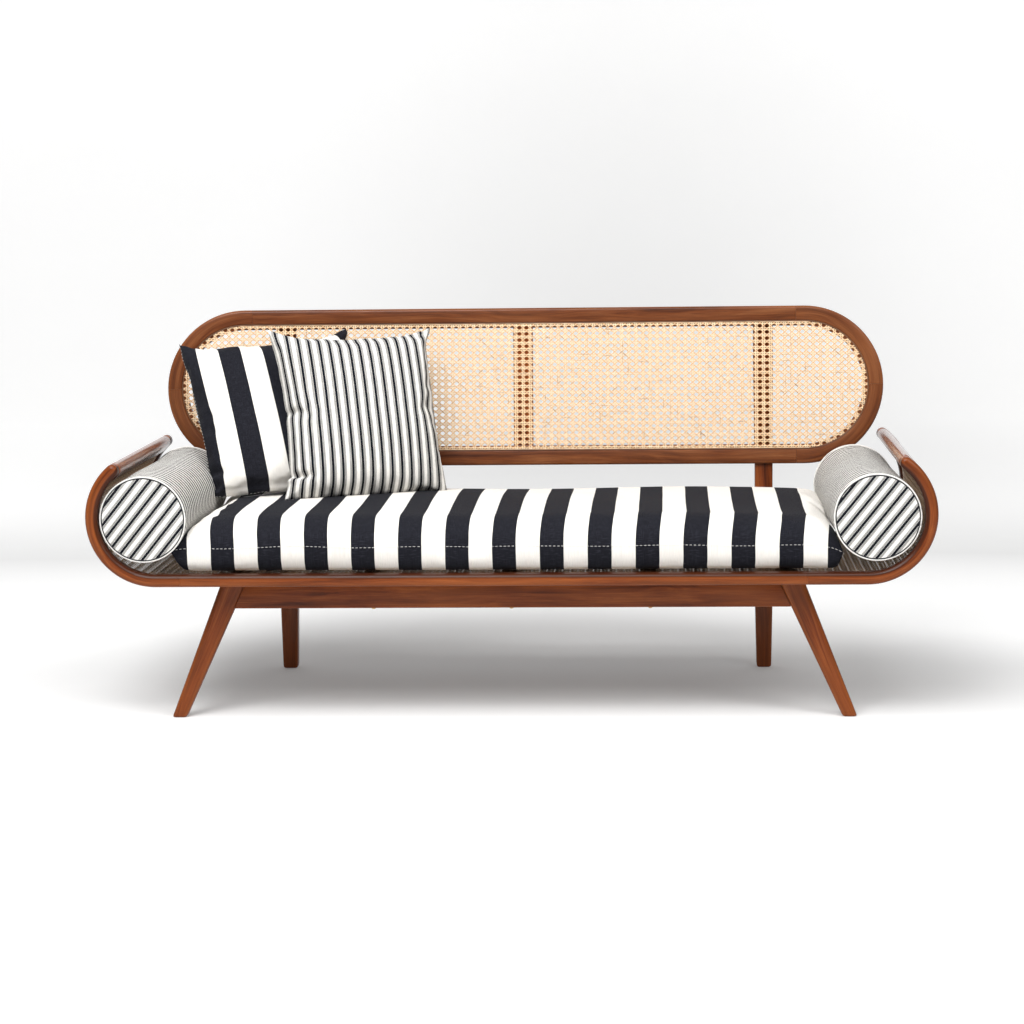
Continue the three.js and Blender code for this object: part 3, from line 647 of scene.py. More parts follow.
def make_front_legs():
    section, wear_and_shade = rounded_section(1.0, 1.0, 0.24)
    stops = [(0, 7.0), (0.6, 4.6), (1.6, 2.4), (3.2, 0.7), (5.5, 0)]
    stops += [(z, 0) for z in np.linspace(30, RAIL_BOTTOM - GAP, 10)]
    for side, sign in SIDES:
        rings = []
        for z, trim in stops:
            x, width, depth = leg_at(z)
            rings.append(np.c_[sign * (x + section[:, 0] * (width - trim)),
                               LEG_Y + section[:, 1] * (depth - trim), np.full(len(section), z)])
        node = f"{side}_front_leg"
        loft(f"{node}_turned", rings, [z for z, _ in stops], section * 45, WOOD, node, wear_and_shade)


def board(name, node, axis, ends=None):
    """A straight board filling its CAD node's box, with eased edges. axis is its length."""
    low, high = edges(node)
    first, second = [a for a in range(3) if a != axis]
    size, center = high - low, (high + low) / 2
    section, wear_and_shade = rounded_section(size[first], size[second], 2.5, 4)
    reach = size[axis] / 2
    stops = [(-reach, 0.985)] + [(t * (reach - 1.2), 1.0) for t in np.linspace(-1, 1, 14)] + [(reach, 0.985)]
    rings = []
    for along, scale in stops:
        ring = np.zeros((len(section), 3))
        ring[:, first] = center[first] + section[:, 0] * scale
        ring[:, second] = center[second] + section[:, 1] * scale
        ring[:, axis] = ends(along / reach, ring) if ends else center[axis] + along
        rings.append(ring)
    loft(name, rings, [s for s, _ in stops], section, WOOD, node, wear_and_shade)


def between_legs(t, ring):
    """Places in x of an apron's ring, t from -1 to 1, so that its ends meet the splayed legs."""
    x, width, _ = leg_at(ring[:, 2])
    return t * (x - width / 2 - GAP)


def make_base():
    make_front_legs()
    board("front_apron_board", "front_apron", 0, between_legs)
    board("rear_apron_board", "rear_apron", 0)
    for side, _ in SIDES:
        board(f"{side}_side_board", f"{side}_side_rail", 1)
    for i in range(1, 6):
        board(f"seat_slat_board_{i}", f"seat_slat_{i}", 1)


def back_to_world(x, d, h):
    """x, the depth behind the backrest's middle and the height up its lean, as a place."""
    c, s = math.cos(BACK_LEAN), math.sin(BACK_LEAN)
    return np.stack([x, BACK_CENTER[1] + d * c + h * s, BACK_CENTER[2] - d * s + h * c], axis=-1)


def back_point(d, h):
    return tuple(back_to_world(0.0, d, h)[1:])


def make_posts():
    """Back posts: full depth up to the backrest, then a thinner tongue behind it. Each level is a
    front and a back point in y and z, and how much the width is trimmed."""
    y0, y1 = POST_FRONT_Y, POST_FRONT_Y + POST_DEPTH
    behind = BACK_DEPTH / 2 + 0.3
    tail = behind + POST_TONGUE
    under = -BACK_RADIUS - 0.3
    face = back_point(-BACK_DEPTH / 2, under)
    levels = [((y0 + 5, 0), (y1 - 7, 0), 9), ((y0 + 3, 1), (y1 - 5, 1), 5), ((y0 + 2, 3), (y1 - 4, 3), 1.5),
              ((y0 + 1.5, 8), (y1 - 3.8, 8), 0)]
    levels += [((y0 + 1.2 * (1 - t), z), (y1 - 3 * (1 - t), z), 0)
               for z, t in zip(np.linspace(60, 250, 5), np.linspace(0.2, 1, 5))]
    levels += [((y0, z), (y1, z), 0) for z in np.linspace(300, 470, 4)]
    levels += [((y0, face[1] + (face[0] - y0) * math.tan(BACK_LEAN)), back_point(tail, -BACK_RADIUS + 6), 0),
               (back_point(behind, under), back_point(tail, -BACK_RADIUS + 8), 0)]
    levels += [(back_point(behind, h), back_point(tail, h), 0)
               for h in np.linspace(-BACK_RADIUS + 12, BACK_RADIUS - 17, 9)]
    levels += [(back_point(behind, BACK_RADIUS - 14), back_point(tail - 2.5, BACK_RADIUS - 14), 4)]
    section, wear_and_shade = rounded_section(1.0, 1.0, 0.12, 4)
    for side, sign in SIDES:
        rings = []
        for front, back, trim in levels:
            center, across = (np.array(front) + back) / 2, np.array(back) - front
            width = np.interp(center[1], *zip(*POST_WIDTHS)) - trim
            yz = center + section[:, 1:2] * across
            rings.append(np.c_[sign * POST_X + section[:, 0] * width, yz])
        lengths = [(front[1] + back[1]) / 2 for front, back, _ in levels]
        node = f"{side}_back_post"
        loft(f"{node}_turned", rings, lengths, section * 40, WOOD, node, wear_and_shade)


# ---- backrest
def frame_section():
    """Points round the backrest frame's section, inwards from its outer edge and behind its
    middle, and how far each is on a corner."""
    half, r = BACK_DEPTH / 2, BACK_ROUND
    points, wear_and_shade = [], []

    def arc(cq, cd, radius, start, end, steps):
        for k in range(steps + 1):
            a = math.radians(start + (end - start) * k / steps)
            points.append((cq + radius * math.cos(a), cd + radius * math.sin(a)))
            wear_and_shade.append(math.sin(math.pi * k / steps))

    arc(r, -half + r, r, 180, 270, 6)
    arc(BACK_FACE - 1.5, -half + 1.5, 1.5, 270, 360, 3)
    points.append((BACK_FACE, -half + BACK_RECESS))
    wear_and_shade.append(0)
    arc(BACK_FACE + BACK_LEDGE - 2.5, -half + BACK_RECESS + 2.5, 2.5, 270, 360, 3)
    arc(BACK_FACE + BACK_LEDGE - 4, half - 4, 4, 0, 90, 4)
    arc(r, half - r, r, 90, 180, 6)
    return np.array(points), np.array(wear_and_shade)


def outline_path(kind):
    """Part of the backrest's outline, as points and inward normals."""
    radius = BACK_RADIUS
    if kind == "rail":
        xs = np.linspace(-BACK_JOINT + GAP / 2, BACK_JOINT - GAP / 2, 30)
        return np.c_[xs, np.full(len(xs), radius)], np.tile((0.0, -1.0), (len(xs), 1))
    turn = np.linspace(math.pi / 2, 0, 26)
    path = [(BACK_JOINT + GAP / 2, radius)]
    path += [(BACK_STRAIGHT + radius * math.cos(a), radius * math.sin(a)) for a in turn]
    normals = [(0.0, -1.0)] + [(-math.cos(a), -math.sin(a)) for a in turn]
    path = np.array(path)
    path[-1, 1] += GAP / 2
    return path, np.array(normals)


def frame_piece(name, kind, flip_x, flip_h, node):
    section, wear_and_shade = frame_section()
    path, normals = outline_path(kind)
    rings = []
    for p, normal in zip(path, normals):
        xh = p + section[:, :1] * normal
        rings.append(back_to_world(flip_x * xh[:, 0], section[:, 1], flip_h * xh[:, 1]))
    loft(name, rings, distance_along(path), section, BACK_WOOD_SHADED, node, wear_and_shade)


def make_backrest():
    frame_piece("back_top_rail", "rail", 1, 1, "backrest_top_rail")
    frame_piece("back_bottom_rail", "rail", 1, -1, "backrest_bottom_rail")
    for side, sign in SIDES:
        for level, up in (("upper", 1), ("lower", -1)):
            frame_piece(f"back_{side}_{level}_bow", "bow", sign, up, f"backrest_{side}_{level}_bow")
    low, high = edges("backrest_center_slat")
    thick = 16.0
    reach = BACK_RADIUS - BACK_FACE - BACK_LEDGE - 0.3
    depth = (thick - BACK_DEPTH) / 2 + BACK_RECESS + 0.3
    section, wear_and_shade = rounded_section(high[0] - low[0], thick, 2.5, 4)
    heights = np.linspace(-reach, reach, 12)
    rings = [back_to_world(section[:, 0], depth + section[:, 1], np.full(len(section), h)) for h in heights]
    loft("back_center_slat", rings, heights, section, WOOD, "backrest_center_slat", wear_and_shade)
    make_spline()


def make_spline():
    """A reed pressed into the groove round the cane."""
    radius = BACK_RADIUS - BACK_FACE - SPLINE_WIDTH / 2 - 0.5
    half = SPLINE_WIDTH / 2 - 0.15
    turn = np.linspace(0, math.tau, 10, endpoint=False)
    section = np.c_[half * np.cos(turn), 1.5 * np.sin(turn)]
    corner = np.linspace(-math.pi / 2, math.pi / 2, 40)
    straight = np.linspace(-BACK_STRAIGHT, BACK_STRAIGHT, 40)[1:-1]
    right = [(BACK_STRAIGHT + radius * math.cos(a), radius * math.sin(a), math.cos(a), math.sin(a))
             for a in corner]
    top = [(x, radius, 0, 1) for x in reversed(straight)]
    left = [(-x, -h, -nx, -nh) for x, h, nx, nh in right]
    low = [(x, -radius, 0, -1) for x in straight]
    loop = np.array(right + top + left + low)
    behind = -BACK_DEPTH / 2 + BACK_RECESS - 2.0
    rings = [back_to_world(x + nx * section[:, 0], behind + section[:, 1], h + nh * section[:, 0])
             for x, h, nx, nh in loop]
    run = np.repeat(distance_along(loop[:, :2]), len(section))
    grain = np.c_[run, np.tile(section, (len(loop), 1))] * MM
    obj = skin("back_cane_spline", rings, SPLINE, "cane_spline", {"grain": grain}, True, body="root")
    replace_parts(obj, "backrest_cane_spline")


# ---- woven cane
STRAND, STRAND_THICK = 2.5, 0.8
PAIR = 1.9  # each strand of a pair lies this far from the pair's middle
WAVE = 0.55


def strand_lines(u0, u1, v0, v1, detail):
    """Every strand, pairs both ways and then the diagonals: its points in u, v and height, and
    whether it is a diagonal and whether it runs along u."""
    pu, pv = CANE_PITCH
    iu = range(math.floor(u0 / pu) - 1, math.ceil(u1 / pu) + 2)
    iv = range(math.floor(v0 / pv) - 1, math.ceil(v1 / pv) + 2)
    for own, other, step, pitch, up in ((iu, iv, pv, pu, 1), (iv, iu, pu, pv, -1)):
        for i in own:
            for s in (-1, 1):
                t = np.arange(min(other), max(other) + 1 / detail, 1 / detail)
                height = up * WAVE * np.where(t % 1 == 0, (-1.0) ** (i + np.round(t) + (s > 0)), 0)
                place = np.full(len(t), i * pitch + s * PAIR)
                line = (place, t * step, height) if up > 0 else (t * step, place, height)
                yield np.stack(line, axis=-1), (0.0, 0.0 if up > 0 else 1.0)
    for sign in (1, -1):
        for k in range(min(iu) - len(iv), max(iu) + len(iv)):
            t = np.arange(min(iv), max(iv) + 0.5, 0.5)
            u = k + 0.5 + sign * t
            over = np.where(np.abs(u - np.round(u)) < 0.25, 1.0, -1.0)
            yield np.c_[u * pu, t * pv, sign * over * WAVE * 1.5], (1.0, 0.0)


def clip_line(line, inside):
    """The part of a strand inside the panel, cut close to its edge."""
    within = inside(line[:, 0], line[:, 1])
    if within.sum() < 1:
        return None
    first, last = np.argmax(within), len(within) - 1 - np.argmax(within[::-1])

    def edge(a, b):
        for _ in range(8):
            m = (a + b) / 2
            if inside(m[0:1], m[1:2])[0]:
                a = m
            else:
                b = m
        return a

    part = list(line[first:last + 1])
    if first > 0:
        part.insert(0, edge(line[first], line[first - 1]))
    if last < len(line) - 1:
        part.append(edge(line[last], line[last + 1]))
    part = np.array(part)
    return part if len(part) > 1 and np.ptp(part[:, :2], axis=0).max() > 4 else None


def woven_panel(name, bounds, inside, to_world, detail, material, node):
    """A panel of woven cane strands. to_world takes u, v and the height over the panel."""
    points, quads, grain, strand, count = [], [], [], [], 0
    section = np.array([(-1, -1), (0, 1), (1, -1)]) * (STRAND / 2, STRAND_THICK / 2)
    for number, (line, family) in enumerate(strand_lines(*bounds, detail)):
        line = clip_line(line, inside)
        if line is None:
            continue
        ahead = np.diff(line[:, :2], axis=0)
        ahead = np.concatenate([ahead, ahead[-1:]])
        ahead /= np.linalg.norm(ahead, axis=1)[:, None]
        side = np.c_[-ahead[:, 1], ahead[:, 0]]
        run = distance_along(line[:, :2])
        size = len(line)
        for a, b in section:
            uv = line[:, :2] + side * a
            points.append(to_world(uv[:, 0], uv[:, 1], line[:, 2] + b))
            own_place = np.full(size, (number * 0.731 + a * MM) % 9)
            grain.append(np.c_[run * MM + number * 0.37, own_place, np.zeros(size)])
            strand.append(np.tile((abs(a) / (STRAND / 2), *family), (size, 1)))
        k = np.arange(size - 1)
        for a, b in ((0, 1), (1, 2), (2, 0)):
            quads.append(np.c_[count + a * size + k, count + b * size + k,
                               count + b * size + k + 1, count + a * size + k + 1])
        count += 3 * size
    obj = mesh_object(name, np.concatenate(points), np.concatenate(quads), material, "woven_cane",
                      {"grain": np.concatenate(grain), "strand": np.concatenate(strand)}, "root")
    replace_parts(obj, node)


def make_back_cane():
    radius = BACK_RADIUS - BACK_FACE - SPLINE_WIDTH - 0.9
    face = -BACK_DEPTH / 2 + BACK_RECESS - 0.3 - 1.0

    def inside(u, v):
        return np.hypot(np.maximum(np.abs(u) - BACK_STRAIGHT, 0), v) < radius

    def to_world(u, v, h):
        return back_to_world(u, face - h, v)

    reach = BACK_STRAIGHT + radius
    woven_panel("back_woven_cane", (-reach, reach, -radius, radius), inside, to_world, 2, BACK_CANE,
                "backrest_cane")


def make_seat_cane():
    """The deck and its two curled ends follow the boat profile."""
    radius = ARM_RADIUS - CANE_LIFT - 1.3
    y0, y1 = edges("seat_cane")[0][1], edges("seat_cane")[1][1]

    def to_world(u, v, h):
        bend = np.maximum(np.abs(u) - CURL_X, 0) / radius
        x = np.minimum(np.abs(u), CURL_X) + (radius - h) * np.sin(bend)
        z = CURL_Z - (radius - h) * np.cos(bend)
        return np.stack([np.sign(u) * x, v, z], axis=-1)

    def deck(u, v):
        return (np.abs(u) < CURL_X - 0.4) & (v > y0) & (v < y1)

    woven_panel("seat_woven_cane", (-CURL_X, CURL_X, y0, y1), deck, to_world, 1, DECK_CANE_SHADED, "seat_cane")
    for side, sign in SIDES:
        stop = radius * (math.pi / 2 + ARMREST_LOW[side] - 0.11)

        def arm(u, v, sign=sign, stop=stop):
            s = u * sign
            return (s > CURL_X) & (s < CURL_X + stop) & (v > y0) & (v < y1)

        ends = sorted((sign * CURL_X, sign * (CURL_X + stop)))
        woven_panel(f"{side}_arm_woven_cane", (*ends, y0, y1), arm, to_world, 2, DECK_CANE_SHADED,
                    f"{side}_arm_cane")


# ---- cushions
def closer_at_ends(count):
    """Places from -1 to 1, about half as far apart at the ends as in the middle."""
    t = np.linspace(-1, 1, count + 1)
    return 0.55 * t + 0.45 * np.sin(t * math.pi / 2)


def envelope(nu, nv, half_u, half_v):
    """Two panels joined at a seam: u and v from -1 to 1, the side, the faces, the seam's points
    and the places in the flat cloth."""
    us, vs = closer_at_ends(nu), closer_at_ends(nv)
    grid_v, grid_u = np.meshgrid(vs, us, indexing="ij")
    inner_v, inner_u = grid_v[1:-1, 1:-1], grid_u[1:-1, 1:-1]
    u = np.concatenate([grid_u.ravel(), inner_u.ravel()])
    v = np.concatenate([grid_v.ravel(), inner_v.ravel()])
    side = np.where(np.arange(len(u)) < grid_u.size, 1.0, -1.0)
    index = np.arange(grid_u.size).reshape(grid_u.shape)
    under = index.copy()
    under[1:-1, 1:-1] = grid_u.size + np.arange(inner_u.size).reshape(inner_u.shape)
    top = np.stack([index[:-1, :-1], index[:-1, 1:], index[1:, 1:], index[1:, :-1]], axis=-1).reshape(-1, 4)
    low = np.stack([under[:-1, :-1], under[1:, :-1], under[1:, 1:], under[:-1, 1:]], axis=-1).reshape(-1, 4)
    seam = list(index[0, :-1]) + list(index[:-1, -1]) + list(index[-1, :0:-1]) + list(index[:0:-1, 0])
    rest = np.c_[u * half_u, v * half_v, side * 10.0] * MM
    side[seam] = 0.0
    return u, v, side, np.concatenate([top, low]), np.array(seam), rest


def ripple(x, seed, wavelength):
    """A smooth uneven wave between -1 and 1."""
    waves = np.random.default_rng(seed)
    total = np.zeros_like(x)
    for k in range(5):
        stretch = waves.uniform(0.55, 1.7)
        size = waves.uniform(0.4, 1.0)
        total = total + size * np.sin(math.tau * x / (wavelength * stretch) + waves.uniform(0, 6.28))
    return total / 2.6


def rise(spare, reach, power=2.4):
    """0 at a seam to 1 once the panel is reach away from it."""
    t = np.clip(spare / reach, 0, 1)
    return np.sqrt(np.maximum(1 - (1 - t) ** power, 0))


def stand_up(t, half, curl):
    """Place and seam distance for t from -1 to 1 across a panel whose last stretch, about curl
    long, stands upright over its seam."""
    spare = (1 - np.abs(t)) * half
    curl = np.maximum(curl, 0.01)
    return np.sign(t) * (half - spare - curl * np.exp(-spare / curl)), spare


def positions(mesh):
    out = np.zeros(len(mesh.vertices) * 3, np.float32)
    mesh.vertices.foreach_get("co", out)
    return out.reshape(-1, 3)


def set_positions(mesh, points):
    mesh.vertices.foreach_set("co", points.astype(np.float32).ravel())
    mesh.update()


def inflate(obj, pressure, cap, frames, larger):
    """Lets the fabric swell and wrinkle as cloth, then keeps the result. larger is how much wider
    the cloth is than its pattern, and no point moves further than cap millimetres."""
    scene = bpy.context.scene
    start = positions(obj.data)
    cloth = obj.modifiers.new("cloth", "CLOTH")
    s = cloth.settings
    s.quality = 6
    s.mass = 0.3
    s.tension_stiffness = s.compression_stiffness = 25
    s.shear_stiffness = 8
    s.bending_stiffness = 0.4
    s.use_pressure = True
    s.uniform_pressure_force = pressure
    s.shrink_min = -larger
    s.effector_weights.gravity = 0
    cloth.collision_settings.use_collision = False
    cloth.point_cache.frame_start = 1
    cloth.point_cache.frame_end = frames + 1
    for f in range(1, frames + 1):
        scene.frame_set(f)
    move = positions(obj.evaluated_get(bpy.context.evaluated_depsgraph_get()).to_mesh()) - start
    length = np.linalg.norm(move, axis=1)
    limit = cap * MM
    scale = np.where(length > 1e-9, limit * np.tanh(length / limit) / np.maximum(length, 1e-9), 0)
    obj.modifiers.remove(cloth)
    scene.frame_set(1)
    set_positions(obj.data, start + move * scale[:, None])


def smooth_once(obj, seam=()):
    """One level of subdivision, with the seam kept crisp."""
    mesh = obj.data
    if len(seam):
        pairs = {tuple(sorted((int(a), int(b)))) for a, b in zip(seam, np.roll(seam, -1))}
        creases = [0.8 if tuple(sorted(e.vertices)) in pairs else 0.0 for e in mesh.edges]
        mesh.attributes.new("crease_edge", "FLOAT", "EDGE").data.foreach_set("value", creases)
    sub = obj.modifiers.new("smooth", "SUBSURF")
    sub.levels = sub.render_levels = 1


def cord(name, line, radius, material, parent, sides=10):
    """A round cord along a closed line of points, as piping."""
    ahead = np.roll(line, -1, axis=0) - np.roll(line, 1, axis=0)
    ahead /= np.linalg.norm(ahead, axis=1)[:, None]
    side = np.cross(ahead, [0.0, 0.0, 1.0])
    bad = np.linalg.norm(side, axis=1) < 0.2
    side[bad] = np.cross(ahead[bad], [0.0, 1.0, 0.0])
    side /= np.linalg.norm(side, axis=1)[:, None]
    turn = np.linspace(0, math.tau, sides, endpoint=False)[None, :, None]
    ring = radius * (np.cos(turn) * side[:, None, :] + np.sin(turn) * np.cross(side, ahead)[:, None, :])
    run = np.repeat(distance_along(line), sides)
    rest = np.c_[run, np.tile(turn.ravel() * radius, len(line)), np.zeros(len(run))] * MM
    skin(name, line[:, None, :] + ring, material, "ticking_stripe_cotton", {"rest": rest}, True,
         parent=parent)


# A stitch at places along it: its thickness and its lift off the cloth, as shares of its radius.
STITCH_SHAPE = ((0, 0.35, -0.4), (0.15, 0.85, 0.1), (0.5, 1.0, 0.45), (0.85, 0.85, 0.1), (1, 0.35, -0.4))


def stitches(name, line, normals, spacing, length, radius, parent, jitter):
    """A row of short threads round a closed line, each a tapered tube that dips in at both ends."""
    looped = np.concatenate([line, line[:1]])
    around = np.concatenate([normals, normals[:1]])
    run = distance_along(looped)
    draws = np.random.default_rng(11)

    def at(s, values):
        return np.array([np.interp(s, run, values[:, k]) for k in range(3)])

    turn = np.linspace(0, math.tau, 6, endpoint=False)
    points, faces, rest = [], [], []
    for start in np.arange(0, run[-1] - spacing, spacing):
        s0 = start + draws.uniform(-jitter, jitter)
        a, b = at(s0 % run[-1], looped), at((s0 + length) % run[-1], looped)
        n = at((s0 + length / 2) % run[-1], around)
        n /= max(np.linalg.norm(n), 1e-6)
        ahead = b - a
        reach = np.linalg.norm(ahead)
        if reach < 0.5 * length:
            continue
        ahead /= reach
        side = np.cross(ahead, n)
        first = len(points)
        for t, r, lift in STITCH_SHAPE:
            center = a + (b - a) * t + n * lift * radius
            for angle in turn:
                points.append(center + radius * r * (math.cos(angle) * side + math.sin(angle) * n))
                rest.append((t * length * MM, angle * radius * MM, 0))
        faces += loft_faces(len(STITCH_SHAPE), len(turn), first)
    mesh_object(name, points, faces, THREAD, "wide_stripe_canvas", {"rest": rest}, parent=parent)


def zip_strip(name, start, end, out, width, parent):
    """A closed zip between two points: tape, two rows of teeth and a slider with its tab."""
    start, end, out = (np.array(p, float) for p in (start, end, out))
    length = np.linalg.norm(end - start)
    along, out = (end - start) / length, out / np.linalg.norm(out)
    side = np.cross(along, out)
    points, faces, rest = [], [], []

    def block(center, size, taper=0.8):
        first = len(points)
        for level, scale in ((-0.5, 1.0), (0.2, 1.0), (0.5, taper)):
            for sa, sb in ((-1, -1), (1, -1), (1, 1), (-1, 1)):
                p = (center + along * sa * size[0] / 2 * scale + side * sb * size[1] / 2 * scale
                     + out * level * size[2])
                points.append(p)
                rest.append(p * MM)
        faces.extend(loft_faces(3, 4, first))

    block((start + end) / 2, (length, width, 0.8), 0.99)
    pitch = 3.2
    for k in range(int(length / pitch) - 2):
        at = start + along * (pitch * (k + 1)) + out * 0.7
        shift = 0.45 if k % 2 else -0.45
        block(at + side * shift, (1.7, width * 0.34, 1.1))
    slider = start + along * (length - 12) + out * 1.4
    block(slider, (9, width * 0.62, 2.0), 0.75)
    block(slider - along * 14 + out * 0.3, (20, width * 0.36, 1.0), 0.9)
    faces = facing_out(points, faces)
    mesh_object(name, points, faces, ZIP, "zip_tape", {"rest": rest}, parent=parent, sharp=35)


def settle(obj, name):
    """Rides a filled cushion on its own body, for its CAD cover, insert and zip."""
    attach(obj, name)
    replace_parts(obj, f"{name}_cover", f"{name}_insert", f"{name}_zip")


def make_seat_cushion():
    half_u, half_v = 729.5, 331.0
    u, v, side, quads, seam, rest = envelope(154, 80, half_u, half_v)
    center = np.array([SEAT_X - 5.0, FRONT_Y + 345.0, 0.0])
    rest[:, 0] += (center[0] - SEAT_X + 0.5) * MM
    # The side panels stand up between the corner ears, so the side seams lie further in.
    side_curl = np.where(u > 0, 16.0, 30.0) * np.where(v < 0, 1 - v**8, 1.0)
    front_curl = np.where(side < 0, 34.0, 26.0) * (1 - u**10)
    x, spare_u = stand_up(u, half_u, side_curl)
    y, spare_v = stand_up(v, half_v - 7.0 * (1 - u**8) + front_curl, front_curl)
    ear = np.abs(u) ** 60 * np.abs(v) ** 30
    x = x + np.where(u < 0, -6.0, 0.0) * ear
    s_line = np.where(np.abs(v) > np.abs(u), x, y)
    near = np.exp(-np.minimum(spare_u, spare_v) / 24.0)
    top_rise = rise(spare_u, np.where(u > 0, 66.0, 100.0)) * rise(spare_v, 112.0)
    # The cloth is pulled a little along the cushion, more on the top than down the front.
    above = np.where(side > 0, np.clip(spare_v / 110, 0, 1), 0)
    rest[:, 0] -= ((1 - above) * (2 + 8 * np.clip(-u, 0, 1)) + above * (6.5 + 8 * u)) * MM
    # The black end stripes fold under towards the rear and show at the front corners.
    last = SEAT_STRIPES * STRIPE - 2.0 + 60.0 * np.clip((-v - 0.80) / 0.12, 0, 1)
    rest[:, 0] = np.clip(rest[:, 0], (STRIPE_MIDDLE - last) * MM, (STRIPE_MIDDLE + last) * MM)
    low_rise = rise(spare_u, 50, 3.0) * rise(spare_v, 50, 3.0)
    puckers = ripple(s_line + 40 * side, 3, 62.0) * near * (1 - near**6)
    droop = 14.0 * np.clip(u, 0, 1) ** 24 * (v < 0) + 5.0 * np.clip(-u, 0, 1) ** 24 * (v < 0)
    seam_z = 384.0 + 2.0 * ripple(s_line, 5, 260.0) * near - droop
    crown = 8.0 * np.cos(u * math.pi / 2) * np.cos(v * math.pi / 2) + 3.0 * ripple(x * 0.7 + y, 8, 520.0)
    top = seam_z + (56.0 + crown) * top_rise + 2.2 * puckers
    base = SEAT_LOW + 1.0
    low = np.maximum(seam_z - 56.0 * low_rise - 1.8 * puckers, base)
    z = np.where(side > 0, top, np.where(side < 0, low, seam_z - 4.0 * ear))
    obj = mesh_object("seat_cushion", center + np.c_[x, y, z], quads, SEAT_CLOTH, "wide_stripe_canvas",
                      {"rest": rest})
    inflate(obj, 1.2, 6.0, 16, 0.012)
    points = positions(obj.data)
    points[:, 2] = np.maximum(points[:, 2], base * MM)
    set_positions(obj.data, points)
    smooth_once(obj, seam)
    line = points[seam] / MM
    out = np.zeros_like(line)
    out[:, 0] = np.where(np.abs(u[seam]) > 0.999, u[seam], 0)
    out[:, 1] = np.where(np.abs(v[seam]) > 0.999, v[seam], 0)
    out /= np.maximum(np.linalg.norm(out, axis=1), 1e-6)[:, None]
    stitches("seat_cushion_stitches", line + out * 0.4 - np.array([0, 0, 1.0]), out, 9.0, 5.4, 0.5, obj, 0.5)
    rear_y = np.median(line[np.abs(v[seam] - 1) < 1e-6][:, 1]) - 1
    ends = [(SEAT_X + reach, rear_y, 381) for reach in (-480, 480)]
    zip_strip("seat_cushion_zip_row", *ends, (0, 1, 0), 6.5, obj)
    settle(obj, "seat_cushion")


def make_pillow(name, at, angles, size, cloth, slot, seed, stripe_shift, edge_pull, slant, folds):
    """A scatter pillow. angles are its turn, lean and roll. size is half the width, half the height
    and the thickness. edge_pull is how far the left, right, lower and upper seams draw in. slant
    leans the sides and tips the top and foot. Each fold is a place in u and v, its reach, its dip
    and how far it draws the cloth across and up."""
    half_w, half_h, thick = size
    u, v, side, quads, seam, rest = envelope(64, 64, half_w, half_h)
    rest[:, 0] += stripe_shift * MM
    left, right, lower, upper = edge_pull
    x, spare_u = stand_up(u, half_w, np.where(u < 0, left, right) * (1 - v**2) ** 0.7)
    h, spare_v = stand_up(v, half_h, np.where(v < 0, lower, upper) * (1 - u**2) ** 0.7)
    s_line = np.where(np.abs(v) > np.abs(u), x, h)
    near = np.exp(-np.minimum(spare_u, spare_v) / 26.0)
    height = rise(spare_u, half_w * 0.92, 2.2) ** 1.1 * rise(spare_v, half_h * 0.92, 2.2) ** 1.1
    puckers = ripple(s_line + 30 * side, seed, 52.0) * near * (1 - near**5)
    sag = 7.0 * (1 - u**2) * np.clip(-v, 0, 1)
    front = -(thick / 2 + sag) * height - 3.2 * puckers
    back = (thick / 2 + sag) * height + 2.4 * puckers
    wave = 3.5 * ripple(s_line, seed + 1, 150.0) * near
    depth = np.where(side > 0, front, np.where(side < 0, back, 0.0)) + wave
    for fold_u, fold_v, reach_u, reach_v, dip, draw_x, draw_h in folds:
        pull = np.exp(-((u - fold_u) / reach_u) ** 2 - ((v - fold_v) / reach_v) ** 2)
        depth = depth + np.where(side >= 0, dip, -0.4 * dip) * pull
        x = x + draw_x * pull
        h = h + draw_h * pull
    x, h = x - slant[0] * h, h - (slant[1] * (1 + v) + slant[2] * (1 - v)) / 2 * x
    turn, lean, roll = np.radians(angles)
    spin = Matrix.Rotation(turn, 3, "Z") @ Matrix.Rotation(-lean, 3, "X") @ Matrix.Rotation(-roll, 3, "Y")
    spin, center = np.array(spin), np.array(at, float)
    obj = mesh_object(name, np.c_[x, depth, h] @ spin.T + center, quads, cloth, slot, {"rest": rest})
    inflate(obj, 2.0, 12.0, 20, 0.03)
    smooth_once(obj, seam)
    ends = [np.array([sx * half_w * 0.56, 1.0, 13.0 - half_h]) @ spin.T + center for sx in (-1, 1)]
    zip_strip(f"{name}_zip_row", *ends, np.array([0, 0, -1.0]) @ spin.T, 6.0, obj)
    line = positions(obj.data)[seam] / MM
    out = line - center
    out /= np.linalg.norm(out, axis=1)[:, None]
    stitches(f"{name}_stitches", line + out * 0.2, out, 9.0, 4.6, 0.4, obj, 0.4)
    settle(obj, name)


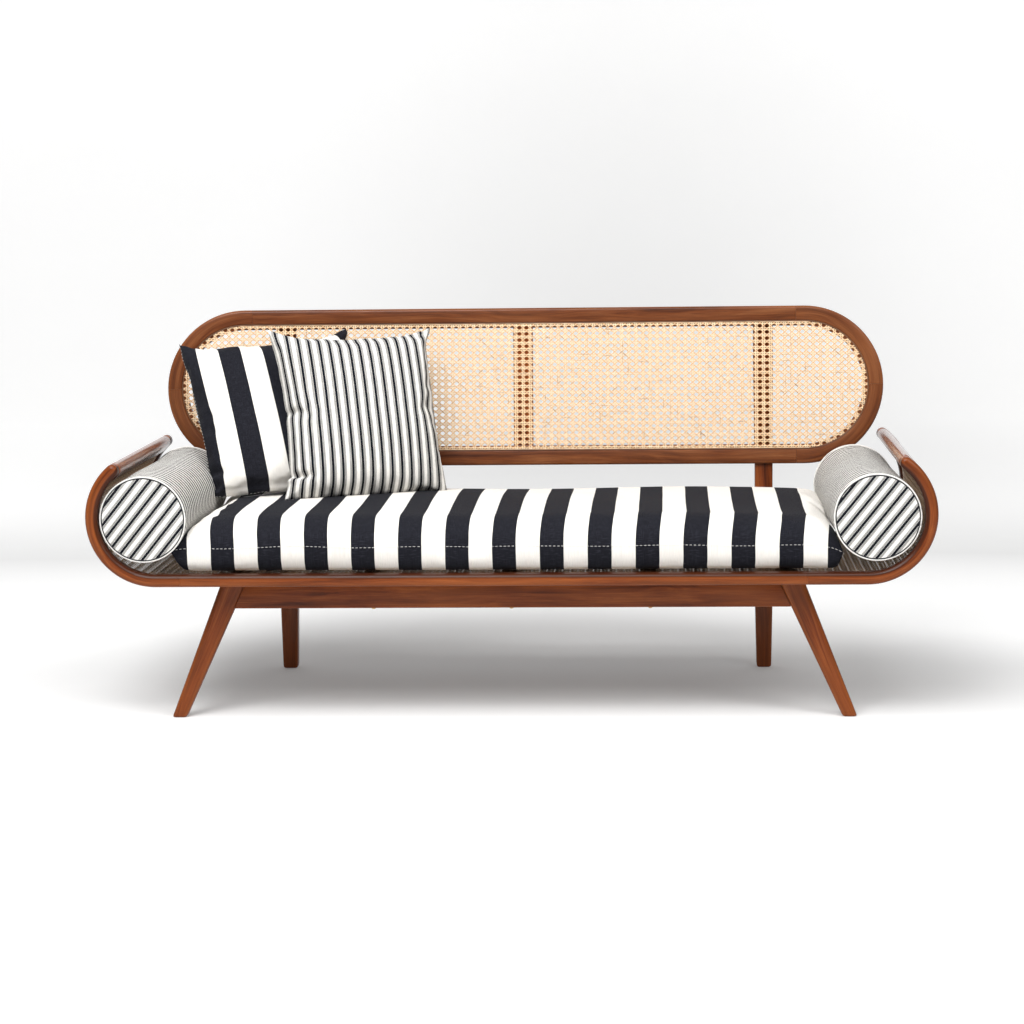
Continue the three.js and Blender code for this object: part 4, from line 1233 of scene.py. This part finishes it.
def make_pillows():
    """The striped pillow lies against the backrest, and the ticking pillow leans on it."""
    make_pillow("striped_pillow", (-575, FRONT_Y + 578, 626), (12.6, 29.0, 6.1), (PILLOW_HALF, 208, 122),
                PILLOW_CLOTH, "wide_stripe_canvas", 21, 0.0, (10.0, 12.0, 3.0, 16.0), (0.040, 0.030, 0.070),
                ((-0.96, -0.86, 0.10, 0.07, 9.0, 4.0, 0.0), (-0.90, -0.70, 0.16, 0.05, 7.0, 3.0, 0.0),
                 (-0.3, -0.93, 0.5, 0.05, 8.0, 0.0, 3.0), (-1.0, 1.0, 0.22, 0.16, 0.0, 5.0, 2.0),
                 (0.96, 0.95, 0.16, 0.14, -8.0, 5.0, 4.0)))
    make_pillow("ticking_pillow", (-379, FRONT_Y + 508, 636), (18.5, 16.5, 1.8), (193, 204, 118),
                TICKING_CLOTH, "ticking_stripe_cotton", 31, 3.0, (12.0, 1.0, 0.5, 17.0), (0.0, 0.039, 0.010),
                ((-0.93, 0.02, 0.10, 0.035, 13.0, 7.0, 0.0), (-0.80, -0.05, 0.12, 0.10, 5.0, 0.0, 0.0),
                 (-0.86, -0.72, 0.15, 0.035, 13.0, 6.0, 0.0), (-0.97, -0.78, 0.05, 0.05, -6.0, -3.0, 0.0),
                 (-1.0, 1.0, 0.2, 0.16, 0.0, -3.0, 7.0), (0.9, -1.0, 0.5, 0.2, 0.0, 0.0, 5.0),
                 (0.84, 0.90, 0.10, 0.05, 12.0, 0.0, 0.0), (0.98, 0.97, 0.10, 0.12, -9.0, 3.0, -5.0)))


def ticking_roll(name, rings, rest, parent=None):
    """A roll or disc of ticking from equal rings and their places in the flat cloth."""
    return skin(name, rings, TICKING_CLOTH, "ticking_stripe_cotton",
                {"rest": np.concatenate(rest) * MM}, parent=parent)


def make_bolster(side):
    """A roll along its own axis, made lying along y from 0 and then swung into the arm."""
    place_x, place_z, radius, swing, lift = BOLSTERS[side]
    length, around = BOLSTER_LENGTH, 96
    turn = np.linspace(0, math.tau, around, endpoint=False)
    hem = [(2.0, radius * 0.5), (1.6, radius - 22), (1.5, radius - 7), (2.2, radius - 2.6),
           (4.5, radius - 1.0)]
    profile = hem + [(y, radius - 0.4) for y in np.linspace(10, length - 10, 84)]
    profile += [(length - y, r) for y, r in reversed(hem)]
    points, rest = [], []
    for (y, r), run in zip(profile, distance_along(profile)):
        t = y / length
        near = math.exp(-min(y, length - y) / 30.0)
        ring = np.full(around, r)
        if r > radius - 3:
            wrinkle = 1.5 * near * ripple(turn * radius + 13 * t, 41, 46.0)
            slack = 2.0 * (1 - near) * ripple(turn * radius * 0.5 + 260 * t, 43, 230.0)
            ring = r - 1.2 + wrinkle + slack - 1.6 * math.sin(math.pi * t)
        points.append(np.c_[ring * np.sin(turn), np.full(around, y), ring * np.cos(turn)])
        rest.append(np.c_[np.full(around, run), turn * radius, np.zeros(around)])
    name = f"{side}_bolster"
    obj = ticking_roll(name, points, rest)
    sewn = positions(obj.data)
    inflate(obj, 1.0, 4.0, 12, 0.01)
    # The side panel swells, and its two hems stay where they are sewn to the end panels.
    inset = np.minimum(sewn[:, 1], length * MM - sewn[:, 1]) / MM
    loose = np.clip(inset / 16 - 0.3, 0, 1)[:, None]
    set_positions(obj.data, sewn + (positions(obj.data) - sewn) * loose)
    smooth_once(obj)
    loop = np.linspace(0, math.tau, 120, endpoint=False)
    for end, y, out in (("front", 0.0, -1), ("rear", length, 1)):
        end_cap(f"{name}_{end}_panel", y, out, radius, obj)
        # The white piping, and inside it a black cord that stands in for the seam's shade: painted shade.
        for part, inset, sunk, thick, cloth in (("piping", 2.0, 1.9, 1.9, PIPING_CLOTH),
                                                ("seam", 4.7, 0.7, 1.3, SEAM_SHADE_CLOTH)):
            r = radius - inset
            circle = np.c_[r * np.sin(loop), np.full(120, y - out * sunk), r * np.cos(loop)]
            cord(f"{name}_{end}_{part}", circle, thick, cloth, obj)
    ends = [(0, share * length, 2.4 - radius) for share in (0.12, 0.88)]
    zip_strip(f"{name}_zip_row", *ends, (0, 0, -1), 6.5, obj)
    swung = Matrix.Rotation(math.radians(swing), 4, "Z") @ Matrix.Rotation(math.radians(lift), 4, "X")
    placed = Matrix.Translation(Vector((place_x, BOLSTER_FRONT, place_z)) * MM) @ swung
    for piece in (obj, *obj.children):
        piece.data.transform(placed)
    settle(obj, name)


def end_cap(name, y, out, radius, parent):
    """The round end panel, slightly domed, its stripes on the slant."""
    around = 96
    turn = np.linspace(0, math.tau, around, endpoint=False)
    slant = math.radians(51)
    points, rest = [], []
    dome = [(0.06, 1.0), (0.25, 0.97), (0.45, 0.9), (0.62, 0.8), (0.78, 0.66), (0.88, 0.52), (0.935, 0.36)]
    levels = [(s, out * (2.6 * h - 1.2)) for s, h in dome]
    levels += [(0.95, -out * 1.0), (0.90, -out * 1.6), (0.3, -out * 1.6)]
    for s, d in levels:
        x, z = s * radius * np.sin(turn), s * radius * np.cos(turn)
        dent = 0.5 * ripple(turn * 40, 51, 60.0) * s * (s < 0.94)
        points.append(np.c_[x, y + d + dent * out, z])
        across = x * math.sin(slant) - z * math.cos(slant)
        along = x * math.cos(slant) + z * math.sin(slant)
        rest.append(np.c_[across + 4.0, along, np.zeros(around)])
    ticking_roll(name, points, rest, parent)


# ---- stage
def make_stage():
    """A pale floor that sweeps up behind the daybed."""
    points = [(x, y, 0.0) for y in (-9.0, WALL_Y - WALL_BEND) for x in (-12.0, 12.0)]
    for a in np.linspace(0, math.pi / 2, 16)[1:]:
        rise_y, rise_z = WALL_BEND * math.sin(a), WALL_BEND * (1 - math.cos(a))
        points += [(x, WALL_Y - WALL_BEND + rise_y, rise_z) for x in (-12.0, 12.0)]
    points += [(x, WALL_Y, 9.0) for x in (-12.0, 12.0)]
    rows = len(points) // 2
    faces = [(2 * r, 2 * r + 1, 2 * r + 3, 2 * r + 2) for r in range(rows - 1)]
    mesh = bpy.data.meshes.new("studio_floor")
    mesh.from_pydata(points, [], faces)
    mesh.polygons.foreach_set("use_smooth", np.ones(len(mesh.polygons), bool))
    mesh.materials.append(floor_paint("studio_floor"))
    obj = bpy.data.objects.new("studio_floor", mesh)
    bpy.context.scene.collection.objects.link(obj)


def area_light(name, at, target, size, power):
    data = bpy.data.lights.new(name, "AREA")
    data.shape = "RECTANGLE"
    data.size, data.size_y = size
    data.energy = power
    obj = bpy.data.objects.new(name, data)
    bpy.context.scene.collection.objects.link(obj)
    obj.location = at
    obj.rotation_euler = (Vector(target) - Vector(at)).to_track_quat("-Z", "Y").to_euler()


def make_lights():
    world = bpy.data.worlds.new("studio")
    world.use_nodes = True
    back = world.node_tree.nodes["Background"]
    back.inputs["Color"].default_value = (1.0, 1.0, 1.0, 1.0)
    back.inputs["Strength"].default_value = 0.26
    bpy.context.scene.world = world
    area_light("overhead", (-0.5, -1.7, 3.4), (0, -0.2, 0.4), (4.2, 1.8), 140)
    area_light("left_front", (-1.4, -4.2, 4.2), (0, 0, 0.4), (2.6, 2.6), 212)
    area_light("right_fill", (3.2, -3.6, 3.2), (0, 0, 0.4), (2.0, 2.0), 88)
    bpy.context.scene.view_settings.view_transform = "Standard"


make_boat_frames()
make_armrests()
make_base()
make_posts()
make_backrest()
make_back_cane()
make_seat_cane()
make_seat_cushion()
make_pillows()
for side, _ in SIDES:
    make_bolster(side)
make_stage()
make_lights()

for key, node in frame["nodes"].items():
    if key.endswith(("_screw", "_bolt")):
        node.data.materials.clear()
        node.data.materials.append(BRASS)
